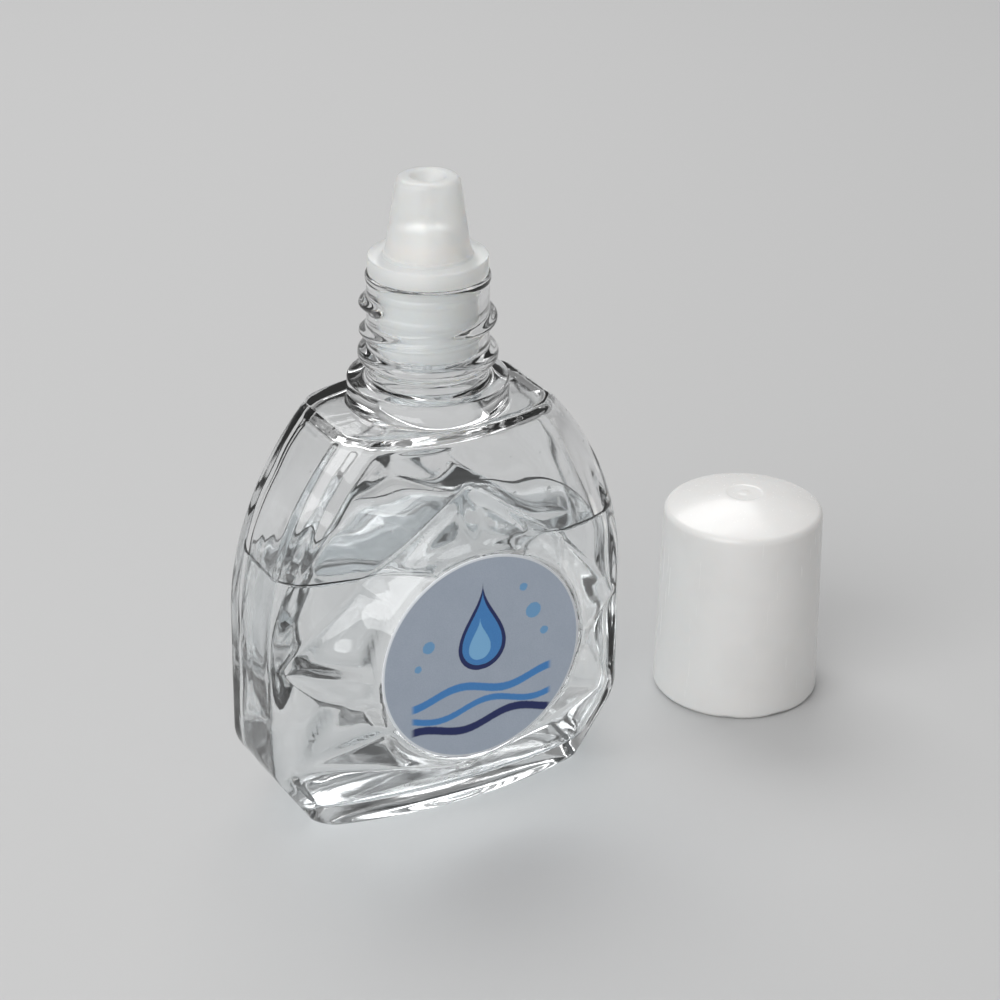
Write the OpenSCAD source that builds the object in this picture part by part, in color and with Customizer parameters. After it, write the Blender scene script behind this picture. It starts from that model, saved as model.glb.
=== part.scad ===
// Eye drop bottle: a flat clear bottle with a star cut into both faces, a press-in dropper
// nozzle, the liquid inside, a round front label, and a screw cap standing beside it.
// Millimetres. The origin is the middle of the bottle's base, +Z is up and -Y is the label side.

/* [Bottle body] */
// Width over the two side facets
body_w = 37.5; // [36:0.5:40]
// Height of the flat shoulder above the base
body_h = 39.6; // [38:0.2:42]
// Depth of the narrow side facets
side_d = 9; // [8:0.2:10]
// Depth of the bulged faces at the middle of the base
mid_d = 15.1; // [14.8:0.1:15.4]
// Depth of the bulged faces at the middle of the shoulder
top_d = 15.9; // [15.6:0.1:16.4]
// Width of the base between the two lower chamfers
base_w = 28.8; // [27:0.2:31]
// Height of the lower chamfers
chamfer_h = 6.4; // [5.5:0.1:7]
// Height at which the straight sides start to curve in
arc_z = 19; // [18:0.5:20]
// Radius of the curved sides, seen from the front
arc_r = 30.4; // [30:0.2:32]
// Thickness of the moulded walls
wall = 1.2; // [0.9:0.1:1.3]
// Thickness of the floor
floor_t = 2; // [1.4:0.1:2.4]
// Bevel along the body's outer edges
edge = 0.5; // [0.4:0.05:0.7]

/* [Star faces] */
// Depth over the two round pads
pad_d = 21.2; // [20.4:0.2:22]
// Radius of the round pads
pad_r = 11.2; // [10.8:0.1:11.4]
// Height of the pads' middle above the base
pad_z = 17.5; // [17:0.1:18]
// Height of the top ray's point
top_ray_z = 34.3; // [33:0.1:35]
// Slope of the star's flanks, as a sideways step
flank = 1.6; // [1:0.1:2]

/* [Neck] */
// Outer radius of the neck wall
neck_r = 5.62; // [5.5:0.02:5.7]
// Radius of the hole through the neck
bore_r = 4.65; // [4.5:0.05:4.8]
// Height of the neck's rim above the base
neck_top = 52.1; // [51.5:0.1:52.5]
// Radius of the collar on the shoulder
collar_r = 7.5; // [7.2:0.1:7.6]
// Height of the collar
collar_h = 2.44; // [2.2:0.02:2.8]
// Radius over the lower bead
bead_r = 6.48; // [6.3:0.02:6.6]
// Height of the lower bead's middle above the base
bead_z = 44.28; // [44:0.02:44.6]

/* [Thread] */
// Radius over the neck thread
thread_r = 6.32; // [6.1:0.02:6.4]
// Pitch of the thread
pitch = 2.7; // [2.4:0.1:2.8]
// Height of the thread's middle where it starts
thread_z = 46.1; // [46:0.1:46.4]
// Degrees that the neck thread runs round
thread_turn = 470; // [400:5:500]
// Height of the thread's root
thread_h = 1.7; // [1.4:0.1:1.9]

/* [Dropper nozzle] */
// Height of the nozzle's tip above the base
tip_z = 61.14; // [60:0.02:62]
// Radius of the cone at its tip
tip_r = 2.85; // [2.6:0.05:3]
// Radius of the cone at its foot
cone_r = 3.86; // [3.7:0.02:4]
// Radius of the flange that sits on the rim
flange_r = 5.45; // [5.3:0.05:5.6]
// Thickness of the flange
flange_h = 1.64; // [1.4:0.02:1.8]
// Length of the plug inside the neck
plug_l = 8; // [7:0.5:9]
// Radius of the metering hole
drop_r = 0.4; // [0.3:0.05:0.5]
// Radius of the cup at the tip's mouth
mouth_r = 1.42; // [1.2:0.02:1.6]

/* [Liquid and label] */
// Level of the liquid above the base
liquid_z = 26.2; // [20:0.2:30]
// Radius of the round label
label_r = 10.4; // [10:0.1:10.7]
// Thickness of the label
label_t = 0.12; // [0.1:0.02:0.2]

/* [Screw cap] */
// Distance of the cap's axis from the bottle's axis
cap_x = 36.2; // [32:0.2:60]
// Outer radius at the cap's mouth
cap_r = 8.48; // [8.4:0.02:8.7]
// Outer radius near the cap's top
cap_top_r = 8.04; // [7.9:0.02:8.2]
// Height of the cap's upper edge above its mouth
cap_edge_h = 20.3; // [20:0.1:21]
// Rise of the domed top above that edge
dome_h = 1.5; // [0.6:0.1:2]
// Rounding of the cap's top edge
cap_round = 0.8; // [0.5:0.1:1.2]
// Radius of the threaded hollow
cap_in_r = 6.6; // [6.5:0.05:6.7]
// Radius of the gate mark on the top
gate_r = 1.8; // [1.5:0.1:2]

/* [Hidden] */
// Smoothness of the round parts
$fn = 72;
// A hair's breadth by which joined solids reach into each other
eps = 0.05;
// Gap that keeps the liquid off the walls
film = 0.04;
// Bevel round the flat top of the shoulder
top_edge = 0.3;
// Radius of the blend between the straight sides and the chamfers
corner_blend = 0.7;
// Steps across each bulged face, and up the curved sides
face_steps = 12;
arc_steps = 10;
// Degrees per step of a thread, over which its ends fade, and at which the neck's one starts
thread_step = 15;
thread_fade = 45;
thread_start = 100;
// Thickness of the shoulder and height of the flared mouth under the neck
shoulder_t = 1.2;
funnel_h = 2;
// Wall of the plug and the closed length of the metering hole
plug_wall = 0.9;
drop_l = 2.6;
mouth_depth = 1.5;
// Gap between the closed cap and the collar, and the cap's inner heights measured from its mouth
cap_gap = 0.15;
cap_floor = collar_h + body_h + cap_gap;
seal_z = neck_top + flange_h - cap_floor;
roof_z = tip_z + 0.12 - cap_floor;
gate_depth = 0.08;
// Radius and slope at which the domed top starts inside the rounded edge
dome_slope = 66;
dome_r = cap_top_r - cap_round * (1 - cos(dome_slope));

function smooth_min(a, b, r) = (a + b - sqrt((a - b) * (a - b) + r * r)) / 2;
function chamfer_w(z) = base_w / 2 + (body_w - base_w) / 2 * z / chamfer_h;
function side_w(z) = z < arc_z ? body_w / 2 : body_w / 2 - arc_r + sqrt(arc_r * arc_r - pow(z - arc_z, 2));
function half_w(z) = smooth_min(chamfer_w(z), side_w(z), corner_blend);
// Half depth of the bulged face at height z and x, where the half width is w
function bulge(z) = (mid_d + (top_d - mid_d) * z / body_h - side_d) / 2;
function half_d(x, w, z) = side_d / 2 + bulge(z) * (1 - pow(x / w, 2));

// Heights of the body's sections, each with the amount its outline is drawn in
levels = concat(
    [[0, edge], [edge, 0], [chamfer_h * 0.5, 0]],
    [for (f = [0.75, 0.88, 1, 1.12, 1.3]) [chamfer_h * f, 0]],
    [[arc_z * 0.7, 0], [arc_z, 0]],
    [for (i = [1:arc_steps]) [arc_z + (body_h - edge - arc_z) * i / arc_steps, 0]],
    [[body_h, top_edge]]);
inner_top = body_h - shoulder_t;
inner_levels = concat(
    [[floor_t, edge], [floor_t + edge, 0], [chamfer_h * 0.6, 0]],
    [for (f = [0.75, 0.88, 1, 1.12, 1.3]) [chamfer_h * f, 0]],
    [[arc_z * 0.7, 0], [arc_z, 0]],
    [for (i = [1:arc_steps]) [arc_z + (inner_top - edge - arc_z) * i / arc_steps, 0]],
    [[inner_top, edge]]);

// One half of a section: from the right side facet, across the front, to the left one
function face_run(z, inset) =
    let (w = half_w(z) - inset, b = edge)
    concat(
        [[w, -(side_d / 2 - b - inset)]],
        [for (i = [0:face_steps])
            let (x = (w - b) * (1 - 2 * i / face_steps)) [x, -(half_d(x, w, z) - inset)]],
        [[-w, -(side_d / 2 - b - inset)]]);
function section(z, inset) =
    let (front = face_run(z, inset))
    concat([for (p = front) [p[0], p[1], z]], [for (p = front) [-p[0], -p[1], z]]);

// Faces of a closed tube through m rings of n points each
function tube_faces(m, n) = concat(
    [[for (i = [n - 1:-1:0]) i]],
    [[for (i = [0:n - 1]) (m - 1) * n + i]],
    [for (j = [0:m - 2]) for (i = [0:n - 1]) [j * n + i, (j + 1) * n + (i + 1) % n, (j + 1) * n + i]],
    [for (j = [0:m - 2]) for (i = [0:n - 1]) [j * n + i, j * n + (i + 1) % n, (j + 1) * n + (i + 1) % n]]);

// A solid through all sections, drawn in by t all round
module lofted_body(rows, t) {
    rings = [for (r = rows) section(r[0], r[1] + t)];
    polyhedron(
        points = [for (ring = rings) for (p = ring) p],
        faces = tube_faces(len(rings), len(rings[0])));
}

// The star's points and notches round the pad, clockwise from the top: x, z, depth from the middle
ray_x = body_w / 2 - 0.6;
low_ray_z = chamfer_h + 0.2;
star_tips = [
    [0, top_ray_z, top_d / 2 - 0.35], [ray_x, pad_z, side_d / 2 + 0.25], [ray_x - 0.4, low_ray_z, side_d / 2 + 0.3],
    [-ray_x + 0.4, low_ray_z, side_d / 2 + 0.3], [-ray_x, pad_z, side_d / 2 + 0.25]];
star_notches = [
    [8.85, pad_z + 7.5, 9.5], [12.6, pad_z - 2.8, 8.4], [0, pad_z - 12.2, 9.2],
    [-12.6, pad_z - 2.8, 8.4], [-8.85, pad_z + 7.5, 9.5]];

// Point p moved along the line from the pad's middle to r mm from it, at depth y
function at_radius(p, r, y) =
    let (dx = p[0], dz = p[1] - pad_z, d = norm([dx, dz])) [dx * r / d, -y, pad_z + dz * r / d];
function radius_of(p) = norm([p[0], p[1] - pad_z]);

// The raised star of one face, drawn in by t on every side
module star(t) {
    n = len(star_tips);
    core = 6 * n;
    tips = [for (p = star_tips) at_radius(p, radius_of(p) - 1.5 * t, p[2] - t)];
    notches = [for (p = star_notches) at_radius(p, radius_of(p) - 1.2 * t, p[2] - t)];
    ridges = [for (p = star_tips) at_radius(p, pad_r - t - 0.15, pad_d / 2 - t - 0.05)];
    bays = [for (p = star_notches) at_radius(p, pad_r - t - 0.6, pad_d / 2 - t - 0.05)];
    tip_roots = [for (p = star_tips) at_radius(p, radius_of(p) - 1.5 * t, 2)];
    notch_roots = [for (p = star_notches) at_radius(p, radius_of(p) + flank - t, 5.2)];
    polyhedron(
        points = concat(tips, notches, ridges, bays, tip_roots, notch_roots, [[0, -2, pad_z]]),
        faces = concat(
            [for (k = [0:n - 1]) [k, n + k, 2 * n + k]],
            [for (k = [0:n - 1]) [n + (k + n - 1) % n, k, 2 * n + k]],
            [for (k = [0:n - 1]) [2 * n + k, n + k, 3 * n + k]],
            [for (k = [0:n - 1]) [3 * n + k, n + k, 2 * n + (k + 1) % n]],
            [[for (k = [0:n - 1]) for (s = [2, 3]) s * n + k]],
            [for (k = [0:n - 1]) [n + k, k, 4 * n + k]],
            [for (k = [0:n - 1]) [n + k, 4 * n + k, 5 * n + k]],
            [for (k = [0:n - 1]) [(k + 1) % n, n + k, 5 * n + k]],
            [for (k = [0:n - 1]) [(k + 1) % n, 5 * n + k, 4 * n + (k + 1) % n]],
            [for (k = [0:n - 1]) [core, 5 * n + k, 4 * n + k]],
            [for (k = [0:n - 1]) [core, 4 * n + (k + 1) % n, 5 * n + k]]));
}

// A round plate on the axis of the pads, from depth y0 to y1 in front of the middle
module pad_disc(r, y0, y1) {
    translate([0, -y0, pad_z]) rotate([90, 0, 0]) cylinder(r = r, h = y1 - y0);
}

// The body's form: barrel, stars and pads, drawn in by t
module faceted_form(rows, t) {
    lofted_body(rows, t);
    for (s = [0, 1]) mirror([0, s, 0]) {
        star(t);
        pad_disc(pad_r - t, 2, pad_d / 2 - t);
    }
}

// The hollow that holds the liquid and the air
module cavity(t) {
    faceted_form(inner_levels, wall + t);
}

// A helical ridge: its foot at radius r0, its crest at r1, starting at angle a0 and height z0
module thread(r0, r1, z0, a0, turn) {
    steps = ceil(turn / thread_step);
    half = (r1 > r0 ? 1 : -1) * thread_h / 2;
    rows = [for (i = [0:steps])
        let (
            a = turn * i / steps,
            grow = min(1, a / thread_fade, (turn - a) / thread_fade),
            crest = r0 + (r1 - r0) * (0.25 + 0.75 * grow),
            mid = r0 + (crest - r0) * 0.75,
            z = z0 + pitch * a / 360)
        [for (p = [[r0, -half], [mid, -half * 0.55], [crest, -half * 0.18],
                   [crest, half * 0.18], [mid, half * 0.55], [r0, half]])
            [p[0] * cos(a0 + a), p[0] * sin(a0 + a), z + p[1]]]];
    polyhedron(points = [for (row = rows) for (p = row) p], faces = tube_faces(steps + 1, 6));
}

// Points on an arc round [x, z] from angle a0 to a1
function arc(x, z, r, a0, a1, steps = 6) =
    [for (i = [0:steps]) let (a = a0 + (a1 - a0) * i / steps) [x + r * cos(a), z + r * sin(a)]];

// Collar, lower bead, wall and rim in one turned piece
module neck_solid() {
    collar_z = body_h + collar_h;
    rotate_extrude() polygon(concat(
        [[0, body_h - shoulder_t / 2], [collar_r, body_h - shoulder_t / 2], [collar_r, collar_z - 0.3],
         [collar_r - 0.3, collar_z], [neck_r, collar_z]],
        arc(bead_r - 0.8, bead_z, 0.8, -90, 90),
        [[neck_r, bead_z + 0.85], [neck_r, neck_top - 0.9]],
        arc(neck_r - 0.4, neck_top - 0.5, 0.5, -45, 45, 4),
        [[neck_r - 0.25, neck_top], [0, neck_top]]));
}

module bottle() {
    color([0.86, 0.9, 0.92, 0.4]) difference() {
        union() {
            faceted_form(levels, 0);
            neck_solid();
            thread(neck_r - 0.2, thread_r, thread_z, thread_start, thread_turn);
        }
        cavity(0);
        translate([0, 0, inner_top - eps]) cylinder(r1 = bore_r + 1.4, r2 = bore_r, h = funnel_h);
        translate([0, 0, inner_top]) cylinder(r = bore_r, h = neck_top);
    }
}

// A ring that touches the neck's bore
function rib(z) = arc(bore_r - 0.4, neck_top - z, 0.4, -60, 60, 4);

module dropper_nozzle() {
    flange_z = neck_top + flange_h;
    plug_z = neck_top - plug_l;
    plug_in = bore_r - plug_wall;
    hollow_top = tip_z - mouth_depth - drop_l;
    color([0.93, 0.93, 0.92, 0.8]) difference() {
        rotate_extrude() polygon(concat(
            [[plug_in + 0.2, plug_z], [bore_r - 0.5, plug_z], [bore_r - 0.2, plug_z + 0.9]],
            rib(5.8),
            rib(3.7),
            rib(1.6),
            [[bore_r - 0.2, neck_top], [flange_r - 0.12, neck_top], [flange_r, neck_top + 0.12],
             [flange_r, flange_z - 0.2], [flange_r - 0.2, flange_z], [cone_r + 0.28, flange_z],
             [cone_r + 0.22, flange_z + 0.34], [cone_r + 0.06, flange_z + 0.4]],
            arc(tip_r - 0.42, tip_z - 0.45, 0.45, 10, 90),
            [[mouth_r + 0.2, tip_z], [mouth_r, tip_z - 0.25], [drop_r, tip_z - mouth_depth],
             [0, tip_z - mouth_depth], [0, hollow_top], [1.7, hollow_top - 0.8], [cone_r - 1.1, flange_z + 0.4],
             [plug_in, neck_top - 0.6], [plug_in, plug_z + 0.8]]));
        translate([0, 0, hollow_top - 0.4]) cylinder(r = drop_r, h = drop_l + 1);
    }
}

module eye_drop_liquid() {
    color([0.8, 0.9, 0.95, 0.5]) intersection() {
        cavity(film);
        translate([-body_w, -pad_d, 0]) cube([2 * body_w, 2 * pad_d, liquid_z]);
    }
}

module front_label() {
    color("lightsteelblue") pad_disc(label_r, pad_d / 2, pad_d / 2 + label_t);
}

// Height of the domed top at radius r
function dome_z(r) = cap_edge_h + dome_h * (1 - pow(r / dome_r, 2));

// The cap turned round its axis: a tapered cup with a domed top and a gate mark, a clear mouth, a threaded
// part, and a sleeve that closes round the nozzle
module cap_shell() {
    round_z = cap_edge_h - cap_round * sin(dome_slope);
    gate_z = dome_z(gate_r) - gate_depth;
    sleeve_wall = 0.8;
    sleeve_r = cone_r + 0.45;
    mouth_clear = bead_r + 0.25;
    rotate_extrude() polygon(concat(
        [[mouth_clear + 0.3, 0], [cap_r - 0.3, 0], [cap_r, 0.3]],
        arc(cap_top_r - cap_round, round_z, cap_round, 0, dome_slope),
        [for (f = [0.85, 0.7, 0.55, 0.4]) [dome_r * f, dome_z(dome_r * f)]],
        [[gate_r, dome_z(gate_r)], [gate_r - 0.1, gate_z], [0, gate_z], [0, roof_z],
         [tip_r + 0.2, roof_z], [tip_r + 0.35, roof_z - 1],
         [sleeve_r, seal_z + 1], [sleeve_r, seal_z + 0.05], [sleeve_r + sleeve_wall, seal_z + 0.05],
         [sleeve_r + sleeve_wall, roof_z - 1], [cap_in_r - 0.2, roof_z - 1], [cap_in_r, seal_z + 1],
         [cap_in_r, 3.4], [mouth_clear, 3.1], [mouth_clear, 0.4]]));
}

module screw_cap() {
    pin_r = drop_r - 0.08;
    color("white") translate([cap_x, 0, 0]) {
        cap_shell();
        thread(cap_in_r + 0.2, thread_r - 0.4, 4.4, 30, 400);
        // Vestige of the gate in the middle of its mark
        translate([0, 0, dome_z(gate_r) - gate_depth - eps]) cylinder(r = 0.35, h = gate_depth);
        // Plug and pin that close the metering hole
        translate([0, 0, roof_z - mouth_depth - 0.6]) cylinder(r = pin_r, h = mouth_depth + 0.7);
        translate([0, 0, roof_z - mouth_depth]) cylinder(r1 = pin_r + 0.02, r2 = mouth_r - 0.2, h = mouth_depth + eps);
    }
}

bottle();
dropper_nozzle();
eye_drop_liquid();
front_label();
screw_cap();
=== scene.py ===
"""Looks of the eye drop bottle: clear bottle, dropper nozzle, liquid, label and cap.

Sizes are in millimetres in the classes and in metres in the meshes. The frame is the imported
part's own: +Z is up, -Y is the label side, and the origin is the middle of the bottle's base.
"""

import logging
import math
from collections.abc import Mapping, Sequence
from dataclasses import dataclass, field, replace
from enum import Enum
from typing import Any

import bpy
import numpy as np
from mathutils import Matrix, Vector


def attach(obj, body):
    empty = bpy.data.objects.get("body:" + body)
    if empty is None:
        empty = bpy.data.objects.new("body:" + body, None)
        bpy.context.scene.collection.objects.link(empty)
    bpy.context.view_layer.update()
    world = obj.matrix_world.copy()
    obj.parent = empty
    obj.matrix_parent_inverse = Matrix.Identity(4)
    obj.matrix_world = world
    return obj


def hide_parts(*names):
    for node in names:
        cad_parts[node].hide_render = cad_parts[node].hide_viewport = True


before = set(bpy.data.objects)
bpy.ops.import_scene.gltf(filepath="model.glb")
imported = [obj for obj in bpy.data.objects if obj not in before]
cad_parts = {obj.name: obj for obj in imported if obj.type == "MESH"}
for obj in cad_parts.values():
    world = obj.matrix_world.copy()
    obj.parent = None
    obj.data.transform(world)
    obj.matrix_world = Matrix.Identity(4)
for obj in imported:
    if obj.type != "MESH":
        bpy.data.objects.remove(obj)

LOG = logging.getLogger("eye_drop_bottle")
MM = 0.001
TAU = 2 * math.pi
# Share of a straight stretch that the rounding at one end may take.
HALF_WAY = 0.48
Array = np.ndarray
Colour = tuple[float, float, float]


class Slot(Enum):
    """Material slots of the record."""

    CLEAR = "clear_plastic"
    MILKY = "milky_plastic"
    LIQUID = "clear_liquid"
    LABEL = "label_film"
    WHITE = "white_plastic"


class Body(Enum):
    """Moving bodies of the record."""

    BOTTLE = "bottle"
    CAP = "cap"


# Shader writing


class Sock:
    """A node socket that adds maths nodes when it is used in an expression."""

    def __init__(self, shade: "Shade", socket: bpy.types.NodeSocket) -> None:
        """Keep the socket and the node tree that it is in."""
        self.shade = shade
        self.socket = socket

    def _math(self, operation: str, *values: Any) -> "Sock":
        """Add one Math node.

        Args:
            operation: the node's operation.
            values: its inputs, in order.

        Returns:
            The node's result.
        """
        return self.shade.node("ShaderNodeMath", {"operation": operation}, dict(enumerate(values)))

    def __add__(self, other: Any) -> "Sock":
        """Sum."""
        return self._math("ADD", self, other)

    def __radd__(self, other: Any) -> "Sock":
        """Sum, reflected."""
        return self._math("ADD", other, self)

    def __sub__(self, other: Any) -> "Sock":
        """Difference."""
        return self._math("SUBTRACT", self, other)

    def __rsub__(self, other: Any) -> "Sock":
        """Difference, reflected."""
        return self._math("SUBTRACT", other, self)

    def __mul__(self, other: Any) -> "Sock":
        """Product."""
        return self._math("MULTIPLY", self, other)

    def __rmul__(self, other: Any) -> "Sock":
        """Product, reflected."""
        return self._math("MULTIPLY", other, self)

    def __truediv__(self, other: Any) -> "Sock":
        """Quotient."""
        return self._math("DIVIDE", self, other)

    def __rtruediv__(self, other: Any) -> "Sock":
        """Quotient, reflected."""
        return self._math("DIVIDE", other, self)

    def __pow__(self, other: Any) -> "Sock":
        """Power."""
        return self._math("POWER", self, other)

    def __abs__(self) -> "Sock":
        """Absolute value."""
        return self._math("ABSOLUTE", self)

    def low(self, other: Any) -> "Sock":
        """Smaller of the two."""
        return self._math("MINIMUM", self, other)

    def high(self, other: Any) -> "Sock":
        """Larger of the two."""
        return self._math("MAXIMUM", self, other)

    def sine(self) -> "Sock":
        """Sine of an angle in radians."""
        return self._math("SINE", self)

    def root(self) -> "Sock":
        """Square root."""
        return self._math("SQRT", self)

    def step(self, start: float, end: float) -> "Sock":
        """Smooth step.

        Args:
            start: value at which the result is 0.
            end: value at which the result is 1. It may be under start.

        Returns:
            A value from 0 to 1.
        """
        low, high = sorted((start, end))
        rising = self.shade.node(
            "ShaderNodeMapRange", {"interpolation_type": "SMOOTHSTEP"},
            {"Value": self, "From Min": low, "From Max": high})
        return rising if start < end else 1 - rising


class Shade:
    """A node tree of a material or world, with one way to add a node."""

    def __init__(self, owner: bpy.types.Material | bpy.types.World) -> None:
        """Empty the owner's node tree.

        Args:
            owner: the material or world that is dressed.
        """
        self.owner = owner
        owner.use_nodes = True
        self.tree = owner.node_tree
        self.tree.nodes.clear()

    @classmethod
    def of(cls, name: str) -> "Shade":
        """Shade of a new material of that name."""
        return cls(bpy.data.materials.new(name))

    def node(
        self, kind: str, settings: Mapping[str, Any] | None = None,
        inputs: Mapping[Any, Any] | None = None, out: int | str | None = 0,
    ) -> Sock | None:
        """Add a node: its settings first, then its inputs.

        Args:
            kind: the node's type.
            settings: the node's own properties. "stops" is a ramp's list of position and colour.
            inputs: a value or a Sock for each socket, by name or number.
            out: the output that is wanted, or None for a node without one.

        Returns:
            The chosen output.
        """
        made = self.tree.nodes.new(kind)
        for name, value in (settings or {}).items():
            if name == "stops":
                self._stops(made.color_ramp, value)
            else:
                setattr(made, name, value)
        for name, value in (inputs or {}).items():
            if isinstance(value, Sock):
                self.tree.links.new(value.socket, made.inputs[name])
            else:
                made.inputs[name].default_value = value
        return None if out is None else Sock(self, made.outputs[out])

    @staticmethod
    def _stops(ramp: bpy.types.ColorRamp, stops: Sequence[tuple[float, Sequence[float]]]) -> None:
        """Set a ramp's stops.

        Args:
            ramp: the ramp.
            stops: position and colour of each stop, in order.
        """
        ramp.interpolation = "EASE"
        while len(ramp.elements) < len(stops):
            ramp.elements.new(1.0)
        for element, (position, colour) in zip(ramp.elements, stops, strict=True):
            element.position = position
            element.color = (*colour[:3], 1.0)

    def place(self) -> Sock:
        """Object coordinates, in metres."""
        return self.node("ShaderNodeTexCoord", out="Object")

    def axes(self, scale: float = 1 / MM) -> tuple[Sock, Sock, Sock]:
        """Object coordinates as three numbers.

        Args:
            scale: factor on each, so that the default gives millimetres.

        Returns:
            x, y and z.
        """
        scaled = self.node(
            "ShaderNodeVectorMath", {"operation": "SCALE"}, {0: self.place(), "Scale": scale})
        parts = self.node("ShaderNodeSeparateXYZ", None, {0: scaled}).socket.node
        return tuple(Sock(self, parts.outputs[i]) for i in range(3))

    def noise(
        self, scale: float, detail: float = 2.0, rough: float = 0.5, where: Sock | None = None,
    ) -> Sock:
        """Noise from 0 to 1.

        Args:
            scale: cells per metre.
            detail: octaves.
            rough: weight of the finer octaves.
            where: coordinates, or None for object coordinates.

        Returns:
            The noise value.
        """
        return self.node("ShaderNodeTexNoise", None, {
            "Vector": where or self.place(), "Scale": scale, "Detail": detail, "Roughness": rough})

    def stretched(self, factors: Sequence[float]) -> Sock:
        """Object coordinates with each axis scaled.

        Args:
            factors: factor along x, y and z.

        Returns:
            The scaled vector.
        """
        inputs = {0: self.place(), 1: tuple(factors)}
        return self.node("ShaderNodeVectorMath", {"operation": "MULTIPLY"}, inputs)

    def mix(self, factor: Any, low: Any, high: Any) -> Sock:
        """Mix of two colours.

        Args:
            factor: 0 for low, 1 for high.
            low: first colour.
            high: second colour.

        Returns:
            The mixed colour.
        """
        inputs = {0: factor, 6: self._colour(low), 7: self._colour(high)}
        return self.node("ShaderNodeMix", {"data_type": "RGBA"}, inputs, out=2)

    @staticmethod
    def _colour(value: Any) -> Any:
        """A colour with its alpha, or the Sock as it is."""
        return value if isinstance(value, Sock) else (*value[:3], 1.0)

    def bump(self, height: Sock, strength: float, distance: float) -> Sock:
        """Normal from a height.

        Args:
            height: value from 0 to 1.
            strength: share of the effect.
            distance: height in metres of a value of 1.

        Returns:
            The normal.
        """
        inputs = {"Strength": strength, "Distance": distance, "Height": height}
        return self.node("ShaderNodeBump", None, inputs)

    def principled(self, inputs: Mapping[str, Any]) -> Sock:
        """Principled shader with those inputs."""
        return self.node("ShaderNodeBsdfPrincipled", None, inputs)

    def surface(self, shader: Sock) -> bpy.types.Material | bpy.types.World:
        """Join the shader to the output.

        Args:
            shader: the finished surface.

        Returns:
            The material or world.
        """
        kind = "World" if isinstance(self.owner, bpy.types.World) else "Material"
        self.node(f"ShaderNodeOutput{kind}", None, {"Surface": shader}, None)
        return self.owner

    def seen(self) -> Sock:
        """1 on rays that show the surroundings, straight or in gloss and clear pieces."""
        seen = self.path("Is Camera Ray").high(self.path("Is Glossy Ray"))
        return seen.high(self.path("Is Transmission Ray"))

    def path(self, kind: str) -> Sock:
        """1 on rays of one kind."""
        return self.node("ShaderNodeLightPath", out=kind)

    def lets_lamps_through(self, shader: Sock, tint: Colour) -> Sock:
        """A clear shader whose shadow is light.

        Args:
            shader: the clear shader.
            tint: share of each colour that a lamp keeps on its way through.

        Returns:
            The shader, and a tinted gap for shadow rays.
        """
        gap = self.node("ShaderNodeBsdfTransparent", None, {"Color": (*tint, 1.0)})
        inputs = {0: self.path("Is Shadow Ray"), 1: shader, 2: gap}
        return self.node("ShaderNodeMixShader", None, inputs)


# Finishes


@dataclass(frozen=True)
class ClearPlastic:
    """Moulded clear polyester with faint flow lines and handling marks."""

    index: float = 1.57
    colour: Colour = (0.985, 0.992, 0.995)
    shadow: Colour = (0.82, 0.835, 0.84)
    polish: float = 0.012
    flow_height: float = 0.00006

    def make(self) -> bpy.types.Material:
        """Write the material.

        Returns:
            The material.
        """
        s = Shade.of("clear_plastic")
        flow = s.noise(230.0, 2.0, 0.45, s.stretched((1.0, 1.0, 0.45)))
        marks = s.noise(5200.0, 3.0, 0.7, s.stretched((1.0, 1.0, 0.12)))
        smears = s.noise(160.0, 3.0, 0.6)
        rough = self.polish + 0.03 * smears.step(0.5, 0.72) + 0.02 * marks.step(0.62, 0.8)
        normal = s.bump(flow + 0.06 * marks, 0.5, self.flow_height)
        glass = s.principled({
            "Base Color": (*self.colour, 1.0), "Roughness": rough, "IOR": self.index,
            "Transmission Weight": 1.0, "Normal": normal})
        return s.surface(s.lets_lamps_through(glass, self.shadow))


@dataclass(frozen=True)
class DropLiquid:
    """The clear watery liquid."""

    index: float = 1.333
    colour: Colour = (0.99, 0.998, 1.0)
    shadow: Colour = (0.95, 0.96, 0.97)
    ripple_height: float = 0.00005

    def make(self, name: str = "clear_liquid") -> bpy.types.Material:
        """Write the material.

        Args:
            name: the name it is given.

        Returns:
            The material.
        """
        s = Shade.of(name)
        ripple = s.noise(90.0, 1.0, 0.4)
        liquid = s.principled({
            "Base Color": (*self.colour, 1.0), "Roughness": 0.0, "IOR": self.index,
            "Transmission Weight": 1.0, "Normal": s.bump(ripple, 0.25, self.ripple_height)})
        return s.surface(s.lets_lamps_through(liquid, self.shadow))


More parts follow.
